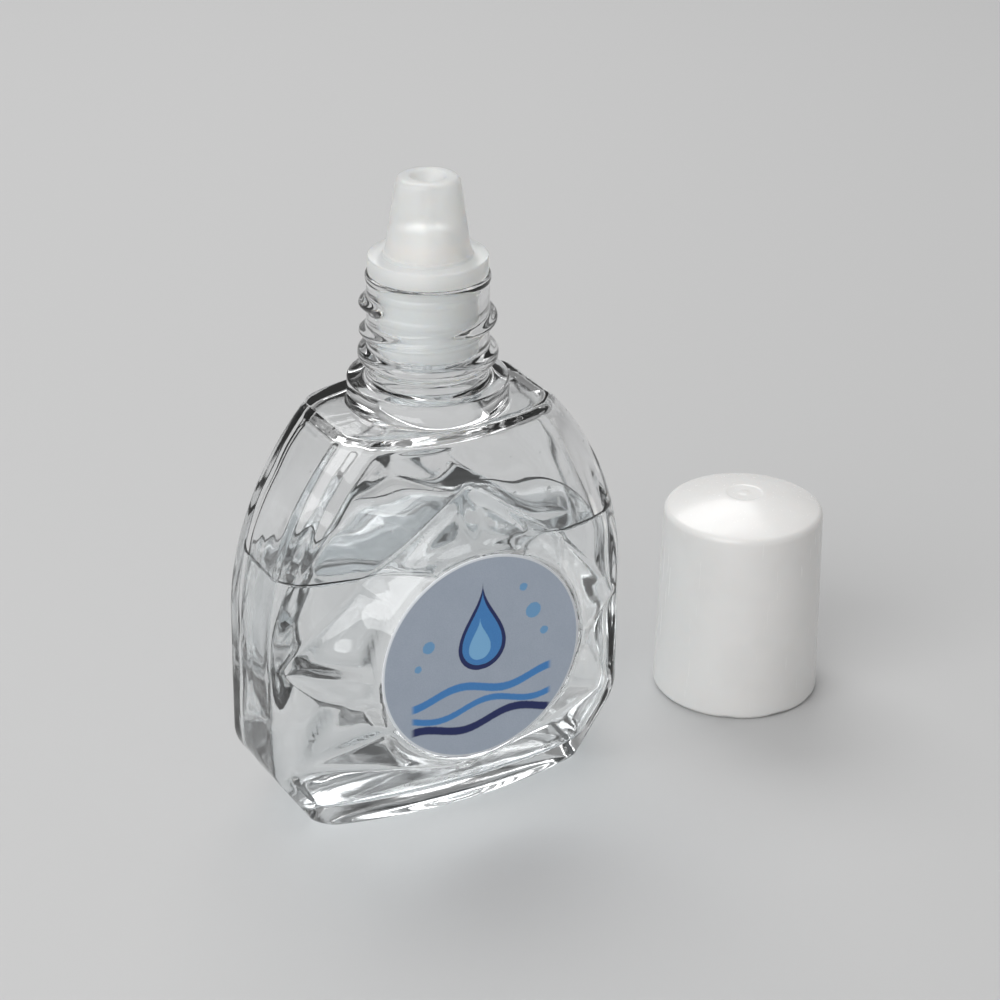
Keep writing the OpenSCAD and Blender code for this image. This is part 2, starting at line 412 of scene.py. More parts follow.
@dataclass(frozen=True)
class MilkyPlastic:
    """Soft milky polyethylene that light shines through, with a painted glow: a warmer, lighter
    band of base colour at the cone's foot, where light seems to gather.
    """

    colour: Colour = (0.93, 0.935, 0.925)
    clouded: Colour = (0.88, 0.89, 0.885)
    # Painted glow: the warm, light colour of the band at the cone's foot, standing in for light
    # gathering there.
    painted_glow: Colour = (0.99, 0.955, 0.915)
    shadow: Colour = (0.62, 0.62, 0.61)
    foot_z: float = 54.2
    clear_share: float = 0.55

    def make(self) -> bpy.types.Material:
        """Write the material.

        Returns:
            The material.
        """
        s = Shade.of("milky_plastic")
        cloud = s.noise(420.0, 2.0, 0.5)
        grain = s.noise(9000.0, 2.0, 0.6)
        _, _, z = s.axes()
        # Painted glow: mask of a band just above the cone's foot, where the base colour turns
        # warmer and lighter as if light collected there.
        foot = z.step(self.foot_z - 0.35, self.foot_z)
        foot = foot * z.step(self.foot_z + 1.9, self.foot_z + 0.9)
        tint = s.mix(cloud, self.colour, self.clouded)
        tint = s.mix(foot, tint, self.painted_glow)
        rough = 0.24 + 0.1 * cloud + 0.06 * grain
        milky = s.principled({
            "Base Color": tint, "Roughness": rough, "IOR": 1.5,
            "Transmission Weight": self.clear_share, "Subsurface Weight": 0.9,
            "Subsurface Radius": (1.0, 0.9, 0.8), "Subsurface Scale": 0.003,
            "Normal": s.bump(grain, 0.12, 0.00002)})
        return s.surface(s.lets_lamps_through(milky, self.shadow))


@dataclass(frozen=True)
class WhitePlastic:
    """Glossy white moulded polypropylene with faint scratches."""

    colour: Colour = (0.86, 0.85, 0.835)
    sunk: Colour = (0.83, 0.82, 0.805)
    scatter: Colour = (0.0012, 0.001, 0.0009)

    def make(self) -> bpy.types.Material:
        """Write the material.

        Returns:
            The material.
        """
        s = Shade.of("white_plastic")
        sink = s.noise(190.0, 2.0, 0.5)
        grain = s.noise(12000.0, 2.0, 0.6)
        scratch = s.noise(2600.0, 2.0, 0.8, s.stretched((1.0, 1.0, 0.04)))
        fine = scratch.step(0.66, 0.72)
        tint = s.mix(sink.step(0.35, 0.7), self.colour, self.sunk)
        rough = 0.2 + 0.08 * sink + 0.12 * fine + 0.03 * grain
        white = s.principled({
            "Base Color": tint, "Roughness": rough, "IOR": 1.49,
            "Subsurface Weight": 0.25, "Subsurface Radius": self.scatter,
            "Subsurface Scale": 0.8, "Coat Weight": 0.15, "Coat Roughness": 0.08,
            "Normal": s.bump(sink + 0.04 * grain - 0.05 * fine, 0.35, 0.00008)})
        return s.surface(white)


@dataclass(frozen=True)
class PrintedLabel:
    """Satin film with a generic print: a water drop over waves, in blues on pale grey-blue.

    Attributes:
        radius: the label's radius.
        centre_z: height of its middle.
        rim_width: width of the unprinted rim.
        ground, ground_cloud, ground_dots: colours of the ground, its clouds and its print dots.
        blue, blue_dots, pale, bubble, navy, rim: colours of the print.
        waves: middle and half width of each wave.
        dots: x, height and radius of each dot.
        wave_reach: half length of the waves.
    """

    radius: float = 10.4
    centre_z: float = 17.5
    rim_width: float = 0.2
    ground: Colour = (0.41, 0.47, 0.56)
    ground_cloud: Colour = (0.48, 0.54, 0.63)
    ground_dots: Colour = (0.3, 0.36, 0.46)
    blue: Colour = (0.05, 0.21, 0.55)
    blue_dots: Colour = (0.08, 0.3, 0.66)
    pale: Colour = (0.24, 0.52, 0.82)
    bubble: Colour = (0.1, 0.36, 0.68)
    navy: Colour = (0.012, 0.022, 0.12)
    rim: Colour = (0.8, 0.83, 0.87)
    waves: tuple[tuple[float, float], ...] = ((-3.2, 0.42), (-5.1, 0.34), (-6.75, 0.42))
    wave_reach: float = 7.6
    dots: tuple[tuple[float, float, float], ...] = (
        (-5.6, 2.4, 0.62), (5.4, 3.6, 0.8), (6.6, 1.2, 0.42), (-6.7, 0.4, 0.36), (4.3, 6.3, 0.4))

    def make(self) -> bpy.types.Material:
        """Write the material of the printed face.

        Returns:
            The material.
        """
        s = Shade.of("label_print")
        x, _, z = s.axes()
        z = z - self.centre_z
        ragged = s.noise(5200.0, 2.0, 0.7) - 0.5
        cloud = s.noise(420.0, 3.0, 0.55)
        grain = s.noise(9500.0, 1.0, 0.5)
        ground = s.mix(cloud, self.ground, self.ground_cloud)
        ground = s.mix(0.3 * grain.step(0.35, 0.65), ground, self.ground_dots)
        ink = s.mix(grain, self.blue, self.blue_dots)
        shown = ground
        for (centre, height), colour in zip(self.waves, (ink, ink, self.navy), strict=True):
            wave = abs(z - centre - 0.55 * (x * 0.62 + centre).sine()) + 0.12 * ragged
            band = wave.step(height + 0.08, height - 0.08)
            band = band * abs(x).step(self.wave_reach, self.wave_reach - 0.6)
            shown = s.mix(band, shown, colour)
        shown = s.mix(self.drop(x, z - 1.2, 2.5, 6.6, ragged), shown, self.navy)
        shown = s.mix(self.drop(x, z - 1.3, 2.1, 5.7, ragged), shown, ink)
        shown = s.mix(self.drop(x + 0.25, z - 0.95, 1.15, 3.2, ragged), shown, self.pale)
        for across, up, r in self.dots:
            away = ((x - across) ** 2 + (z - up) ** 2).root() + 0.18 * ragged
            shown = s.mix(away.step(r + 0.06, r - 0.06) * 0.75, shown, self.bubble)
        out = (x * x + z * z).root()
        inner = self.radius - self.rim_width
        shown = s.mix(out.step(inner - 0.08, inner), shown, self.rim)
        film = s.principled({
            "Base Color": shown, "Roughness": 0.42 + 0.12 * cloud, "IOR": 1.45,
            "Normal": s.bump(cloud + 0.12 * grain, 0.3, 0.00004)})
        return s.surface(film)

    @staticmethod
    def drop(x: Sock, z: Sock, radius: float, height: float, ragged: Sock) -> Sock:
        """Mask of a water drop with its point up.

        Args:
            x: distance from the drop's axis.
            z: height over its widest place.
            radius: half width.
            height: height of the point over the widest place.
            ragged: noise about 0 that roughens the edge.

        Returns:
            1 inside the drop and 0 outside.
        """
        below = (1 - (z / radius) ** 2).high(0).root()
        above = 0.5 + 0.5 * ((z / height).high(-1).low(1) * math.pi + math.pi / 2).sine()
        is_above = z.step(-0.01, 0.01)
        half = radius * (below * (1 - is_above) + above * is_above)
        inside = z.step(height, height - 0.1) * z.step(-radius, -radius + 0.05)
        return (abs(x) + 0.08 * ragged - half).step(0.05, -0.05) * inside


@dataclass(frozen=True)
class LabelBack:
    """Plain white side and edge of the label film."""

    colour: Colour = (0.9, 0.92, 0.95)
    fibre: Colour = (0.83, 0.86, 0.9)

    def make(self) -> bpy.types.Material:
        """Write the material.

        Returns:
            The material.
        """
        s = Shade.of("label_back")
        fibre = s.noise(3000.0, 3.0, 0.6)
        film = s.principled({
            "Base Color": s.mix(fibre, self.colour, self.fibre), "Roughness": 0.5,
            "Normal": s.bump(fibre, 0.2, 0.00002)})
        return s.surface(film)


@dataclass(frozen=True)
class PaleFloor:
    """Plain pale floor that runs out into the backdrop far from the object.

    Attributes:
        colour: the floor's own colour.
        backdrop: the colour that it fades to where it is only seen.
        near: distance at which the fade starts, in millimetres.
        far: distance at which it ends.
    """

    colour: Colour = (0.57, 0.57, 0.57)
    backdrop: Colour = (0.5, 0.5, 0.5)
    near: float = 250.0
    far: float = 1000.0

    def make(self) -> bpy.types.Material:
        """Write the material.

        Returns:
            The material.
        """
        s = Shade.of("pale_floor")
        floor = s.principled({
            "Base Color": (*self.colour, 1.0), "Roughness": 0.7, "Specular IOR Level": 0.2})
        distant = s.node("ShaderNodeEmission", None, {"Color": (*self.backdrop, 1.0)})
        x, y, _ = s.axes()
        away = (x * x + y * y).root().step(self.near, self.far)
        inputs = {0: away * s.seen(), 1: floor, 2: distant}
        return s.surface(s.node("ShaderNodeMixShader", None, inputs))


# Mesh making


def smooth_low(a: Array, b: Array, blend: float) -> Array:
    """Smaller of two fields with a rounded join.

    Args:
        a: first field.
        b: second field.
        blend: width of the join.

    Returns:
        The joined field.
    """
    reach = np.maximum(blend - np.abs(a - b), 0.0) / blend
    return np.minimum(a, b) - reach * reach * blend / 4


def smooth_high(a: Array, b: Array, blend: float) -> Array:
    """Larger of two fields with a rounded join."""
    return -smooth_low(-a, -b, blend)


def ease(t: Array | float) -> Array | float:
    """Smooth step of a value, held to 0 and 1."""
    t = np.clip(t, 0.0, 1.0)
    return t * t * (3 - 2 * t)


def waves(points: Array, seed: int, scale: float, count: int = 7) -> Array:
    """Soft unevenness made of a few slanted sine waves.

    Args:
        points: places, in millimetres, in the last axis.
        seed: seed of the directions and phases.
        scale: typical wavelength in millimetres.
        count: number of waves.

    Returns:
        Values about 0, mostly from -1 to 1.
    """
    rng = np.random.default_rng(seed)
    total = np.zeros(points.shape[:-1])
    for _ in range(count):
        direction = rng.normal(size=3)
        direction *= TAU / (scale * rng.uniform(0.6, 1.6) * np.linalg.norm(direction))
        total += np.sin(points @ direction + rng.uniform(0, TAU))
    return total / math.sqrt(count)


def facing_out(points: Array, faces: Sequence[Sequence[int]]) -> list[Sequence[int]]:
    """Turn the faces of a closed skin outwards.

    Args:
        points: vertices.
        faces: vertex numbers of each face, all turned the same way.

    Returns:
        The faces, reversed if they enclosed a negative volume.
    """
    volume = 0.0
    for size in {len(face) for face in faces}:
        group = points[np.array([face for face in faces if len(face) == size])]
        for k in range(1, size - 1):
            volume += np.einsum("ij,ij->", group[:, 0], np.cross(group[:, k], group[:, k + 1])) / 6
    return list(faces) if volume >= 0 else [face[::-1] for face in faces]


def mesh_object(
    name: str, points: Array, faces: Sequence[Sequence[int]], finish: bpy.types.Material,
) -> bpy.types.Object:
    """A smooth-shaded object.

    Args:
        name: the piece's name.
        points: vertices in millimetres.
        faces: vertex numbers of each face.
        finish: its material.

    Returns:
        The object, linked to the scene.
    """
    mesh = bpy.data.meshes.new(name)
    mesh.from_pydata((np.asarray(points) * MM).tolist(), [], facing_out(np.asarray(points), faces))
    mesh.validate()
    mesh.polygons.foreach_set("use_smooth", [True] * len(mesh.polygons))
    mesh.materials.append(finish)
    mesh.update()
    made = bpy.data.objects.new(name, mesh)
    bpy.context.scene.collection.objects.link(made)
    return made


def tube(
    rings: Array, closed_loop: bool = False, turned_folds: Mapping[int, Array] | None = None,
) -> tuple[Array, list[list[int]]]:
    """Skin of stacked rings.

    Args:
        rings: points of each ring, as rings by points by 3.
        closed_loop: True joins the last ring to the first. Otherwise each end closes on its middle.
        turned_folds: by ring number, True for each face over that ring that folds on its
            other diagonal.

    Returns:
        Points and faces.
    """
    m, n, _ = rings.shape
    points = rings.reshape(-1, 3)
    faces: list[list[int]] = []
    for j in range(m if closed_loop else m - 1):
        a, b = j * n, ((j + 1) % m) * n
        row = [[a + i, a + (i + 1) % n, b + (i + 1) % n, b + i] for i in range(n)]
        other = (turned_folds or {}).get(j, np.zeros(n, bool))
        faces += [
            face[1:] + face[:1] if flip else face for face, flip in zip(row, other, strict=True)]
    if not closed_loop:
        ends = np.stack([rings[0].mean(0), rings[-1].mean(0)])
        points = np.concatenate([points, ends])
        first, last = m * n, m * n + 1
        top = (m - 1) * n
        faces += [[(i + 1) % n, i, first] for i in range(n)]
        faces += [[top + i, top + (i + 1) % n, last] for i in range(n)]
    return points, faces


def turned(profile: Sequence[tuple[float, float]], sides: int) -> Array:
    """Rings of a turned form.

    Args:
        profile: radius and height of each ring.
        sides: points per ring.

    Returns:
        The rings.
    """
    angles = np.arange(sides) * TAU / sides
    circle = np.stack([np.cos(angles), np.sin(angles)], 1)
    flat = np.asarray(profile)
    rings = np.zeros((len(flat), sides, 3))
    rings[:, :, :2] = flat[:, 0, None, None] * circle[None]
    rings[:, :, 2] = flat[:, 1, None]
    return rings


def rounded(
    bends: Sequence[tuple[float, float, float]], steps: int = 5, gap: float = 1.0,
) -> list[tuple[float, float]]:
    """A profile with rounded corners.

    Args:
        bends: radius, height and rounding of each corner. A rounding of 0 keeps it sharp.
        steps: points on each rounding.
        gap: longest straight stretch without a point.

    Returns:
        Radius and height of each point.
    """
    pts = [np.array(bend[:2], float) for bend in bends]
    line: list[Array] = []
    for i, (point, bend) in enumerate(zip(pts, bends, strict=True)):
        if bend[2] <= 0 or i in (0, len(pts) - 1):
            line.append(point)
            continue
        back, ahead = pts[i - 1] - point, pts[i + 1] - point
        reach = min(bend[2], *(HALF_WAY * np.linalg.norm(way) for way in (back, ahead)))
        start = point + back / np.linalg.norm(back) * reach
        end = point + ahead / np.linalg.norm(ahead) * reach
        for k in range(steps + 1):
            t = k / steps
            line.append((1 - t) ** 2 * start + 2 * t * (1 - t) * point + t * t * end)
    out: list[tuple[float, float]] = []
    for a, b in zip(line[:-1], line[1:], strict=True):
        count = max(1, math.ceil(np.linalg.norm(b - a) / gap))
        out += [tuple(a + (b - a) * k / count) for k in range(count)]
    return [*out, tuple(line[-1])]


def numbered(folds: Array, first: int) -> dict[int, Array]:
    """Folds by ring number, from the first ring on."""
    return {first + k: fold for k, fold in enumerate(folds)}


@dataclass(frozen=True)
class ThreadForm:
    """A rounded helical ridge.

    Attributes:
        start_deg: angle at which it starts.
        turn_deg: degrees that it runs round.
        start_z: height of its middle at the start.
        pitch: rise per turn.
        height: how far it stands out.
        half_width: half width of its foot.
        fade_deg: degrees over which each end fades.
    """

    start_deg: float
    turn_deg: float
    start_z: float
    pitch: float
    height: float
    half_width: float
    fade_deg: float = 50.0

    def ridge(self, angles: Array, z: Array) -> Array:
        """Height of the ridge.

        Args:
            angles: angle of each point, in degrees.
            z: height of each point.

        Returns:
            How far the surface stands out there.
        """
        out = np.zeros(np.broadcast(angles, z).shape)
        for wrap in range(-1, 4):
            along = angles - self.start_deg + 360.0 * wrap
            crest = self.start_z + self.pitch * along / 360.0
            inside = (along >= 0) & (along <= self.turn_deg)
            grow = ease(along / self.fade_deg) * ease((self.turn_deg - along) / self.fade_deg)
            off = np.clip(np.abs(z - crest) / self.half_width, 0, 1)
            form = self.height * grow * np.cos(off * math.pi / 2) ** 1.5
            out = np.maximum(out, np.where(inside, form, 0))
        return out


@dataclass(frozen=True)
class StarFace:
    """The faceted star and round pad on each face, as depths over x and height.

    Attributes:
        centre_z: height of the pad's middle.
        pad_depth: depth of the pad.
        pad_radius: radius at which its edge starts to fall.
        pad_slope: fall of that edge per millimetre.
        pad_rounding: rounding of that edge.
        flank_slope: fall of the rays' flanks per millimetre.
        sector_slope: fall past the line on which a ray ends.
        snap: share of the grid's spacing over which a point is moved onto an edge.
        run_up: distance before an edge's start at which points are moved onto it too.
        steep: ratio of rise to run over which an edge counts as upright.
        tips: x, height and depth of each ray's tip.
        notches: the same for the notch after each ray.
    """

    centre_z: float = 17.5
    pad_depth: float = 10.6
    pad_radius: float = 11.0
    pad_slope: float = 1.8
    pad_rounding: float = 0.9
    flank_slope: float = 1.5
    sector_slope: float = 5.0
    snap: float = 0.49
    run_up: float = 0.2
    steep: float = 0.8
    tips: tuple[tuple[float, float, float], ...] = (
        (0.0, 34.3, 7.62), (18.05, 17.5, 4.75), (17.8, 6.6, 4.75),
        (-17.8, 6.6, 4.75), (-18.05, 17.5, 4.75))
    notches: tuple[tuple[float, float, float], ...] = (
        (8.85, 25.0, 9.5), (12.6, 14.7, 8.4), (0.0, 5.3, 9.2),
        (-12.6, 14.7, 8.4), (-8.85, 25.0, 9.5))

    def ridge_end(self, tip: tuple[float, float, float]) -> tuple[float, float, float]:
        """Where the ridge from a tip meets the pad.

        Args:
            tip: the ray's tip.

        Returns:
            x, height and depth.
        """
        dx, dz = tip[0], tip[1] - self.centre_z
        share = (self.pad_radius - 0.1) / math.hypot(dx, dz)
        return (dx * share, self.centre_z + dz * share, self.pad_depth)

    @staticmethod
    def plane(points: Sequence[Sequence[float]], x: Array, z: Array, inset: float) -> Array:
        """Depth of the plane through three points, drawn in.

        Args:
            points: x, z and depth of three points.
            x: where it is wanted.
            z: where it is wanted.
            inset: distance that it is drawn in, square to itself.

        Returns:
            The depth.
        """
        rows = np.array([[p[0], p[1], 1.0] for p in points])
        a, b, c = np.linalg.solve(rows, np.array([p[2] for p in points]))
        return a * x + b * z + c - inset * math.sqrt(1 + a * a + b * b)

    def flank_foot(
        self, tip: Sequence[float], notch: Sequence[float], side: float,
    ) -> tuple[float, float, float]:
        """A point on the flank, 1 mm outwards from a notch.

        Args:
            tip: the ray's tip.
            notch: the ray's notch.
            side: 1 or -1, the side on which the outside lies.

        Returns:
            x, height and depth.
        """
        dx, dz = notch[0] - tip[0], notch[1] - tip[1]
        length = math.hypot(dx, dz)
        x, z = notch[0] - side * dz / length, notch[1] + side * dx / length
        return (x, z, notch[2] - self.flank_slope)

    def past(self, notch: Sequence[float], tip: Sequence[float], x: Array, z: Array) -> Array:
        """Distance past the line from the pad's middle through a notch.

        Args:
            notch: the notch.
            tip: tip of the ray that ends on that line.
            x: where it is wanted.
            z: where it is wanted.

        Returns:
            The distance, above 0 on the side away from the tip.
        """
        way = np.array([notch[0], notch[1] - self.centre_z])
        square = np.array([way[1], -way[0]]) / np.linalg.norm(way)
        away = -np.sign(square @ np.array([tip[0], tip[1] - self.centre_z]))
        return away * (x * square[0] + (z - self.centre_z) * square[1])

    def creases(self) -> list[tuple[Array, Array]]:
        """Find the straight edges of the star.

        Returns:
            Both ends of each edge, as x and height.
        """
        out: list[tuple[Array, Array]] = []
        for k, tip in enumerate(self.tips):
            for end in (self.ridge_end(tip), self.notches[k], self.notches[k - 1]):
                out.append((np.array(tip[:2]), np.array(end[:2])))
        return out

    def lined_up(self, x: Array, z: Array, gap: Array, row: float) -> tuple[Array, Array]:
        """Move the points of a grid that lie nearest to the star's edges onto them.

        Args:
            x: distance from the middle.
            z: height.
            gap: distance between the columns.
            row: distance between the rows.

        Returns:
            The new x and height.
        """
        for start, end in self.creases():
            along = (end - start) / np.linalg.norm(end - start)
            reach = (x - start[0]) * along[0] + (z - start[1]) * along[1]
            off = (x - start[0]) * along[1] - (z - start[1]) * along[0]
            near = (reach > -self.run_up) & (reach < np.linalg.norm(end - start))
            if abs(along[1]) > abs(along[0]) * self.steep:
                move = off / along[1]
                x = np.where(near & (np.abs(move) < self.snap * gap), x - move, x)
            else:
                move = off / along[0]
                z = np.where(near & (np.abs(move) < self.snap * row), z + move, z)
        return x, z

    def depth(self, x: Array, z: Array, inset: float, blend: float) -> Array:
        """Depth of the star and pad.

        Args:
            x: where it is wanted.
            z: where it is wanted.
            inset: distance that it is drawn in.
            blend: rounding of its edges.

        Returns:
            The depth, far below the faces outside the star.
        """
        out = np.hypot(x, z - self.centre_z)
        top = self.pad_depth - inset
        edge = top - self.pad_slope * (out - self.pad_radius + 0.6 * inset)
        total = smooth_low(np.full_like(x, top), edge, self.pad_rounding)
        for k, tip in enumerate(self.tips):
            after, before = self.notches[k], self.notches[k - 1]
            end = self.ridge_end(tip)
            right, left = (self.plane((tip, end, to), x, z, inset) for to in (after, before))
            ray = smooth_low(right, left, blend)
            for notch, side in ((after, 1.0), (before, -1.0)):
                foot = self.flank_foot(tip, notch, side)
                ray = smooth_low(ray, self.plane((tip, notch, foot), x, z, inset), blend)
            for notch in (after, before):
                past = self.past(notch, tip, x, z)
                ray = smooth_low(ray, top - self.sector_slope * past, blend)
            ray = smooth_low(ray, np.full_like(x, top), blend * 0.6)
            total = smooth_high(total, ray, 2 * blend)
        return np.minimum(total, top)


@dataclass
class Grid:
    """Values on an even grid of x and height."""

    x: Array
    z: Array
    step: float
    values: Array

    @classmethod
    def spanning(cls, x0: float, x1: float, z0: float, z1: float, step: float) -> "Grid":
        """An empty grid over a rectangle.

        Args:
            x0: first x.
            x1: last x.
            z0: first height.
            z1: last height.
            step: spacing.

        Returns:
            The grid.
        """
        x, z = np.arange(x0, x1 + step / 2, step), np.arange(z0, z1 + step / 2, step)
        return cls(x, z, step, np.zeros((len(x), len(z))))

    def mesh(self) -> tuple[Array, Array]:
        """x and height of each point."""
        x, z = np.meshgrid(self.x, self.z, indexing="ij")
        return x, z

    def eroded(self, reach: float) -> "Grid":
        """The grid with each value replaced by the lowest one within a distance.

        Args:
            reach: the distance.

        Returns:
            A new grid.
        """
        n = math.floor(reach / self.step)
        wide = np.pad(self.values, n, mode="edge")
        low = self.values
        for i in range(-n, n + 1):
            for j in range(-n, n + 1):
                if i * i + j * j <= n * n:
                    moved = wide[n + i:n + i + len(self.x), n + j:n + j + len(self.z)]
                    low = np.minimum(low, moved)
        return Grid(self.x, self.z, self.step, low)

    def blurred(self, spread: float) -> "Grid":
        """The grid with its values softened.

        Args:
            spread: standard deviation of the softening.

        Returns:
            A new grid.
        """
        reach = math.ceil(3 * spread / self.step)
        weight = np.exp(-0.5 * (np.arange(-reach, reach + 1) * self.step / spread) ** 2)
        weight /= weight.sum()
        soft = np.pad(self.values, reach, mode="edge")
        soft = sum(w * soft[k:k + len(self.x)] for k, w in enumerate(weight))
        soft = sum(w * soft[:, k:k + len(self.z)] for k, w in enumerate(weight))
        return Grid(self.x, self.z, self.step, soft)

    def at(self, x: Array, z: Array) -> Array:
        """Values between the grid's points.

        Args:
            x: where they are wanted.
            z: where they are wanted.

        Returns:
            The values.
        """
        i = np.clip((x - self.x[0]) / self.step, 0, len(self.x) - 1.001)
        j = np.clip((z - self.z[0]) / self.step, 0, len(self.z) - 1.001)
        a, b = i.astype(int), j.astype(int)
        u, v, g = i - a, j - b, self.values
        low = g[a, b] * (1 - u) + g[a + 1, b] * u
        high = g[a, b + 1] * (1 - u) + g[a + 1, b + 1] * u
        return low * (1 - v) + high * v


@dataclass(frozen=True)
class Skin:
    """One skin of the bottle: its outside, its inside or the liquid's.

    Attributes:
        inset: distance in from the outside.
        blend: rounding of the star's edges.
        edge_blend: rounding between the faces and the strips at the sides.
        rounding: rounding of the upright edges.
        cavity: True for the softened inside.
    """

    inset: float = 0.0
    blend: float = 0.36
    edge_blend: float = 0.4
    rounding: float = 0.4
    cavity: bool = False


@dataclass
class BottleShell:
    """The clear bottle: faceted body, shoulder, neck and thread, with its inside.

    Attributes:
        width, height: of the body.
        side_depth: half depth at the side edges.
        base_half: half width of the base.
        chamfer_height: height of the lower chamfers.
        arc_z, arc_radius: where the sides start to curve in, and how tightly.
        base_depth, top_depth: half depth of the faces' middle at the base and the shoulder.
        wall, face_wall: thickness of the sides, and of the faces before they are softened.
        floor: thickness of the floor.
        blowing: how far the inside is rounder than the outside.
        strip_top, strip_foot: how far the strips at the side edges stand out above and below.
        edge_slope: slope with which the faces meet those strips.
        seam, shoulder_seam: height of the parting line on the sides and on the shoulder.
        swell, swell_length: height and wavelength of the blown wall's waves.
        ripple, ripple_length: the same for the finer ones near the sides.
        face_columns, side_columns: points across a face and a side.
        row, inner_row: distance between the rings outside and inside.
    """

    width: float = 37.4
    height: float = 39.6
    side_depth: float = 4.5
    base_half: float = 14.4
    chamfer_height: float = 6.4
    arc_z: float = 19.0
    arc_radius: float = 30.4
    base_depth: float = 7.55
    top_depth: float = 7.95
    wall: float = 1.15
    face_wall: float = 0.85
    floor: float = 2.0
    neck_radius: float = 5.62
    neck_top: float = 52.1
    bore: float = 4.66
    blowing: float = 1.5
    strip_top: float = 1.0
    strip_foot: float = 0.75
    edge_slope: float = 1.15
    seam: float = 0.03
    shoulder_seam: float = 0.035
    swell: float = 0.1
    swell_length: float = 7.5
    ripple: float = 0.02
    ripple_length: float = 1.9
    face_columns: int = 116
    side_columns: int = 21
    row: float = 0.3
    inner_row: float = 0.5
    star: StarFace = field(default_factory=StarFace)
    thread: ThreadForm = field(default_factory=lambda: ThreadForm(
        start_deg=100.0, turn_deg=470.0, start_z=46.1, pitch=2.7, height=0.72, half_width=0.85))
    soft: Grid = field(init=False)
    outside: Skin = field(init=False)
    cavity: Skin = field(init=False)

    def __post_init__(self) -> None:
        """Work out the softened inside and the two skins."""
        self.soft = self.softened()
        self.outside = Skin()
        self.cavity = Skin(inset=self.wall, edge_blend=1.2, rounding=1.2, cavity=True)

    def half_width(self, z: Array) -> Array:
        """Half width of the front outline.

        Args:
            z: heights.

        Returns:
            The half width at each height.
        """
        chamfer = self.base_half + (self.width / 2 - self.base_half) * z / self.chamfer_height
        lift = np.maximum(z - self.arc_z, 0)
        side = self.width / 2 - self.arc_radius + np.sqrt(self.arc_radius**2 - lift**2)
        return smooth_low(chamfer, side, 0.8)

    def strip(self, z: Array) -> Array:
        """How far the bevel strip along the side edges stands out.

        Args:
            z: heights.

        Returns:
            The distance at each height.
        """
        middle = self.star.centre_z
        above = self.strip_top * ease((z - middle) / 15.0)
        return above + self.strip_foot * ease((middle - z) / 11.0)

    def relief(self, x: Array, z: Array, half: Array, inset: float, blend: float) -> Array:
        """Depth of the curved front with its star and pad.

        Args:
            x: distance from the middle.
            z: height.
            half: half width of the outline there.
            inset: distance that the face is drawn in.
            blend: rounding of the edges.

        Returns:
            The depth.
        """
        middle = self.base_depth + (self.top_depth - self.base_depth) * z / self.height
        edge = self.side_depth + self.strip(z)
        share = np.clip(np.abs(x) / half, 0, 1)
        barrel = middle - (middle - edge) * share**2 - inset
        return smooth_high(barrel, self.star.depth(x, z, inset, blend), blend)

    def softened(self) -> Grid:
        """Soften the inside of the front, which the blowing leaves rounder than the outside.

        Returns:
            Its depth over x and height.
        """
        grid = Grid.spanning(-21.0, 21.0, -5.0, 45.0, 0.25)
        x, z = grid.mesh()
        grid.values = self.relief(x, z, self.half_width(z), self.face_wall, 0.45)
        return grid.eroded(self.blowing).blurred(0.5 * self.blowing)

    def face_depth(self, x: Array, z: Array, skin: Skin) -> Array:
        """Depth of the front at each point.

        Args:
            x: distance from the middle.
            z: height.
            skin: which skin it is.

        Returns:
            The depth.
        """
        half = self.half_width(z) - skin.inset
        if skin.cavity:
            face = self.soft.at(x, z) - (skin.inset - self.wall)
        else:
            face = self.relief(x, z, half, skin.inset, skin.blend)
        room = np.maximum(half - np.abs(x), 0)
        rise = self.side_depth - skin.inset - 0.1 + self.edge_slope * room
        face = smooth_low(face, rise, skin.edge_blend)
        turn = np.clip(room / skin.rounding, 0, 1)
        return face - skin.rounding * 0.6 * (1 - np.sqrt(1 - (1 - turn) ** 2))

    def edge_rows(self, half: Array) -> Array:
        """Distances from the middle of the columns of one face.

        Args:
            half: half width of each ring.

        Returns:
            x of each column, from the right edge to the left, per ring.
        """
        near = np.array([0.0, 0.05, 0.14, 0.27, 0.44, 0.66, 0.95])
        inner = self.face_columns - 2 * len(near)
        share = np.linspace(1, -1, inner + 2)[1:-1]
        core = (half - near[-1])[:, None] * share[None]
        right = half[:, None] - near[None]
        return np.concatenate([right, core, -right[:, ::-1]], 1)

    def columns(self, heights: Array, skin: Skin) -> tuple[Array, Array]:
        """Points of the front.

        Args:
            heights: height of each ring.
            skin: which skin it is.

        Returns:
            x and height of each point, on the outside moved onto the star's edges.
        """
        x = self.edge_rows(self.half_width(heights) - skin.inset)
        z = np.repeat(heights[:, None], x.shape[1], 1)
        middle = self.face_columns // 2
        gap = (x[:, middle - 1] - x[:, middle])[:, None]
        return (x, z) if skin.cavity else self.star.lined_up(x, z, gap, self.row)

    @staticmethod
    def all_round(front: Array, side: Array) -> Array:
        """Rings made of the front, the left side, and both again turned half round."""
        turned_half = np.array([-1.0, -1.0, 1.0])
        return np.concatenate([front, side, front * turned_half, side * turned_half], 1)

    def section_rings(self, heights: Array, skin: Skin) -> Array:
        """Rings round the body at the given heights.

        Args:
            heights: height of each ring.
            skin: which skin it is.

        Returns:
            The rings, from the right edge across the front to the left, and back behind.
        """
        x, z = self.columns(heights, skin)
        depth = self.face_depth(x, z, skin)
        share = np.linspace(-1, 1, self.side_columns + 2)[1:-1]
        seam = 0 if skin.cavity else self.seam
        half = self.half_width(heights)[:, None] - skin.inset
        out = half + seam * np.maximum(0, 1 - np.abs(share) * 10)[None]
        left = np.stack([-out, depth[:, :1] * share[None], z[:, :1] + 0 * share[None]], 2)
        return self.all_round(np.stack([x, -depth, z], 2), left)

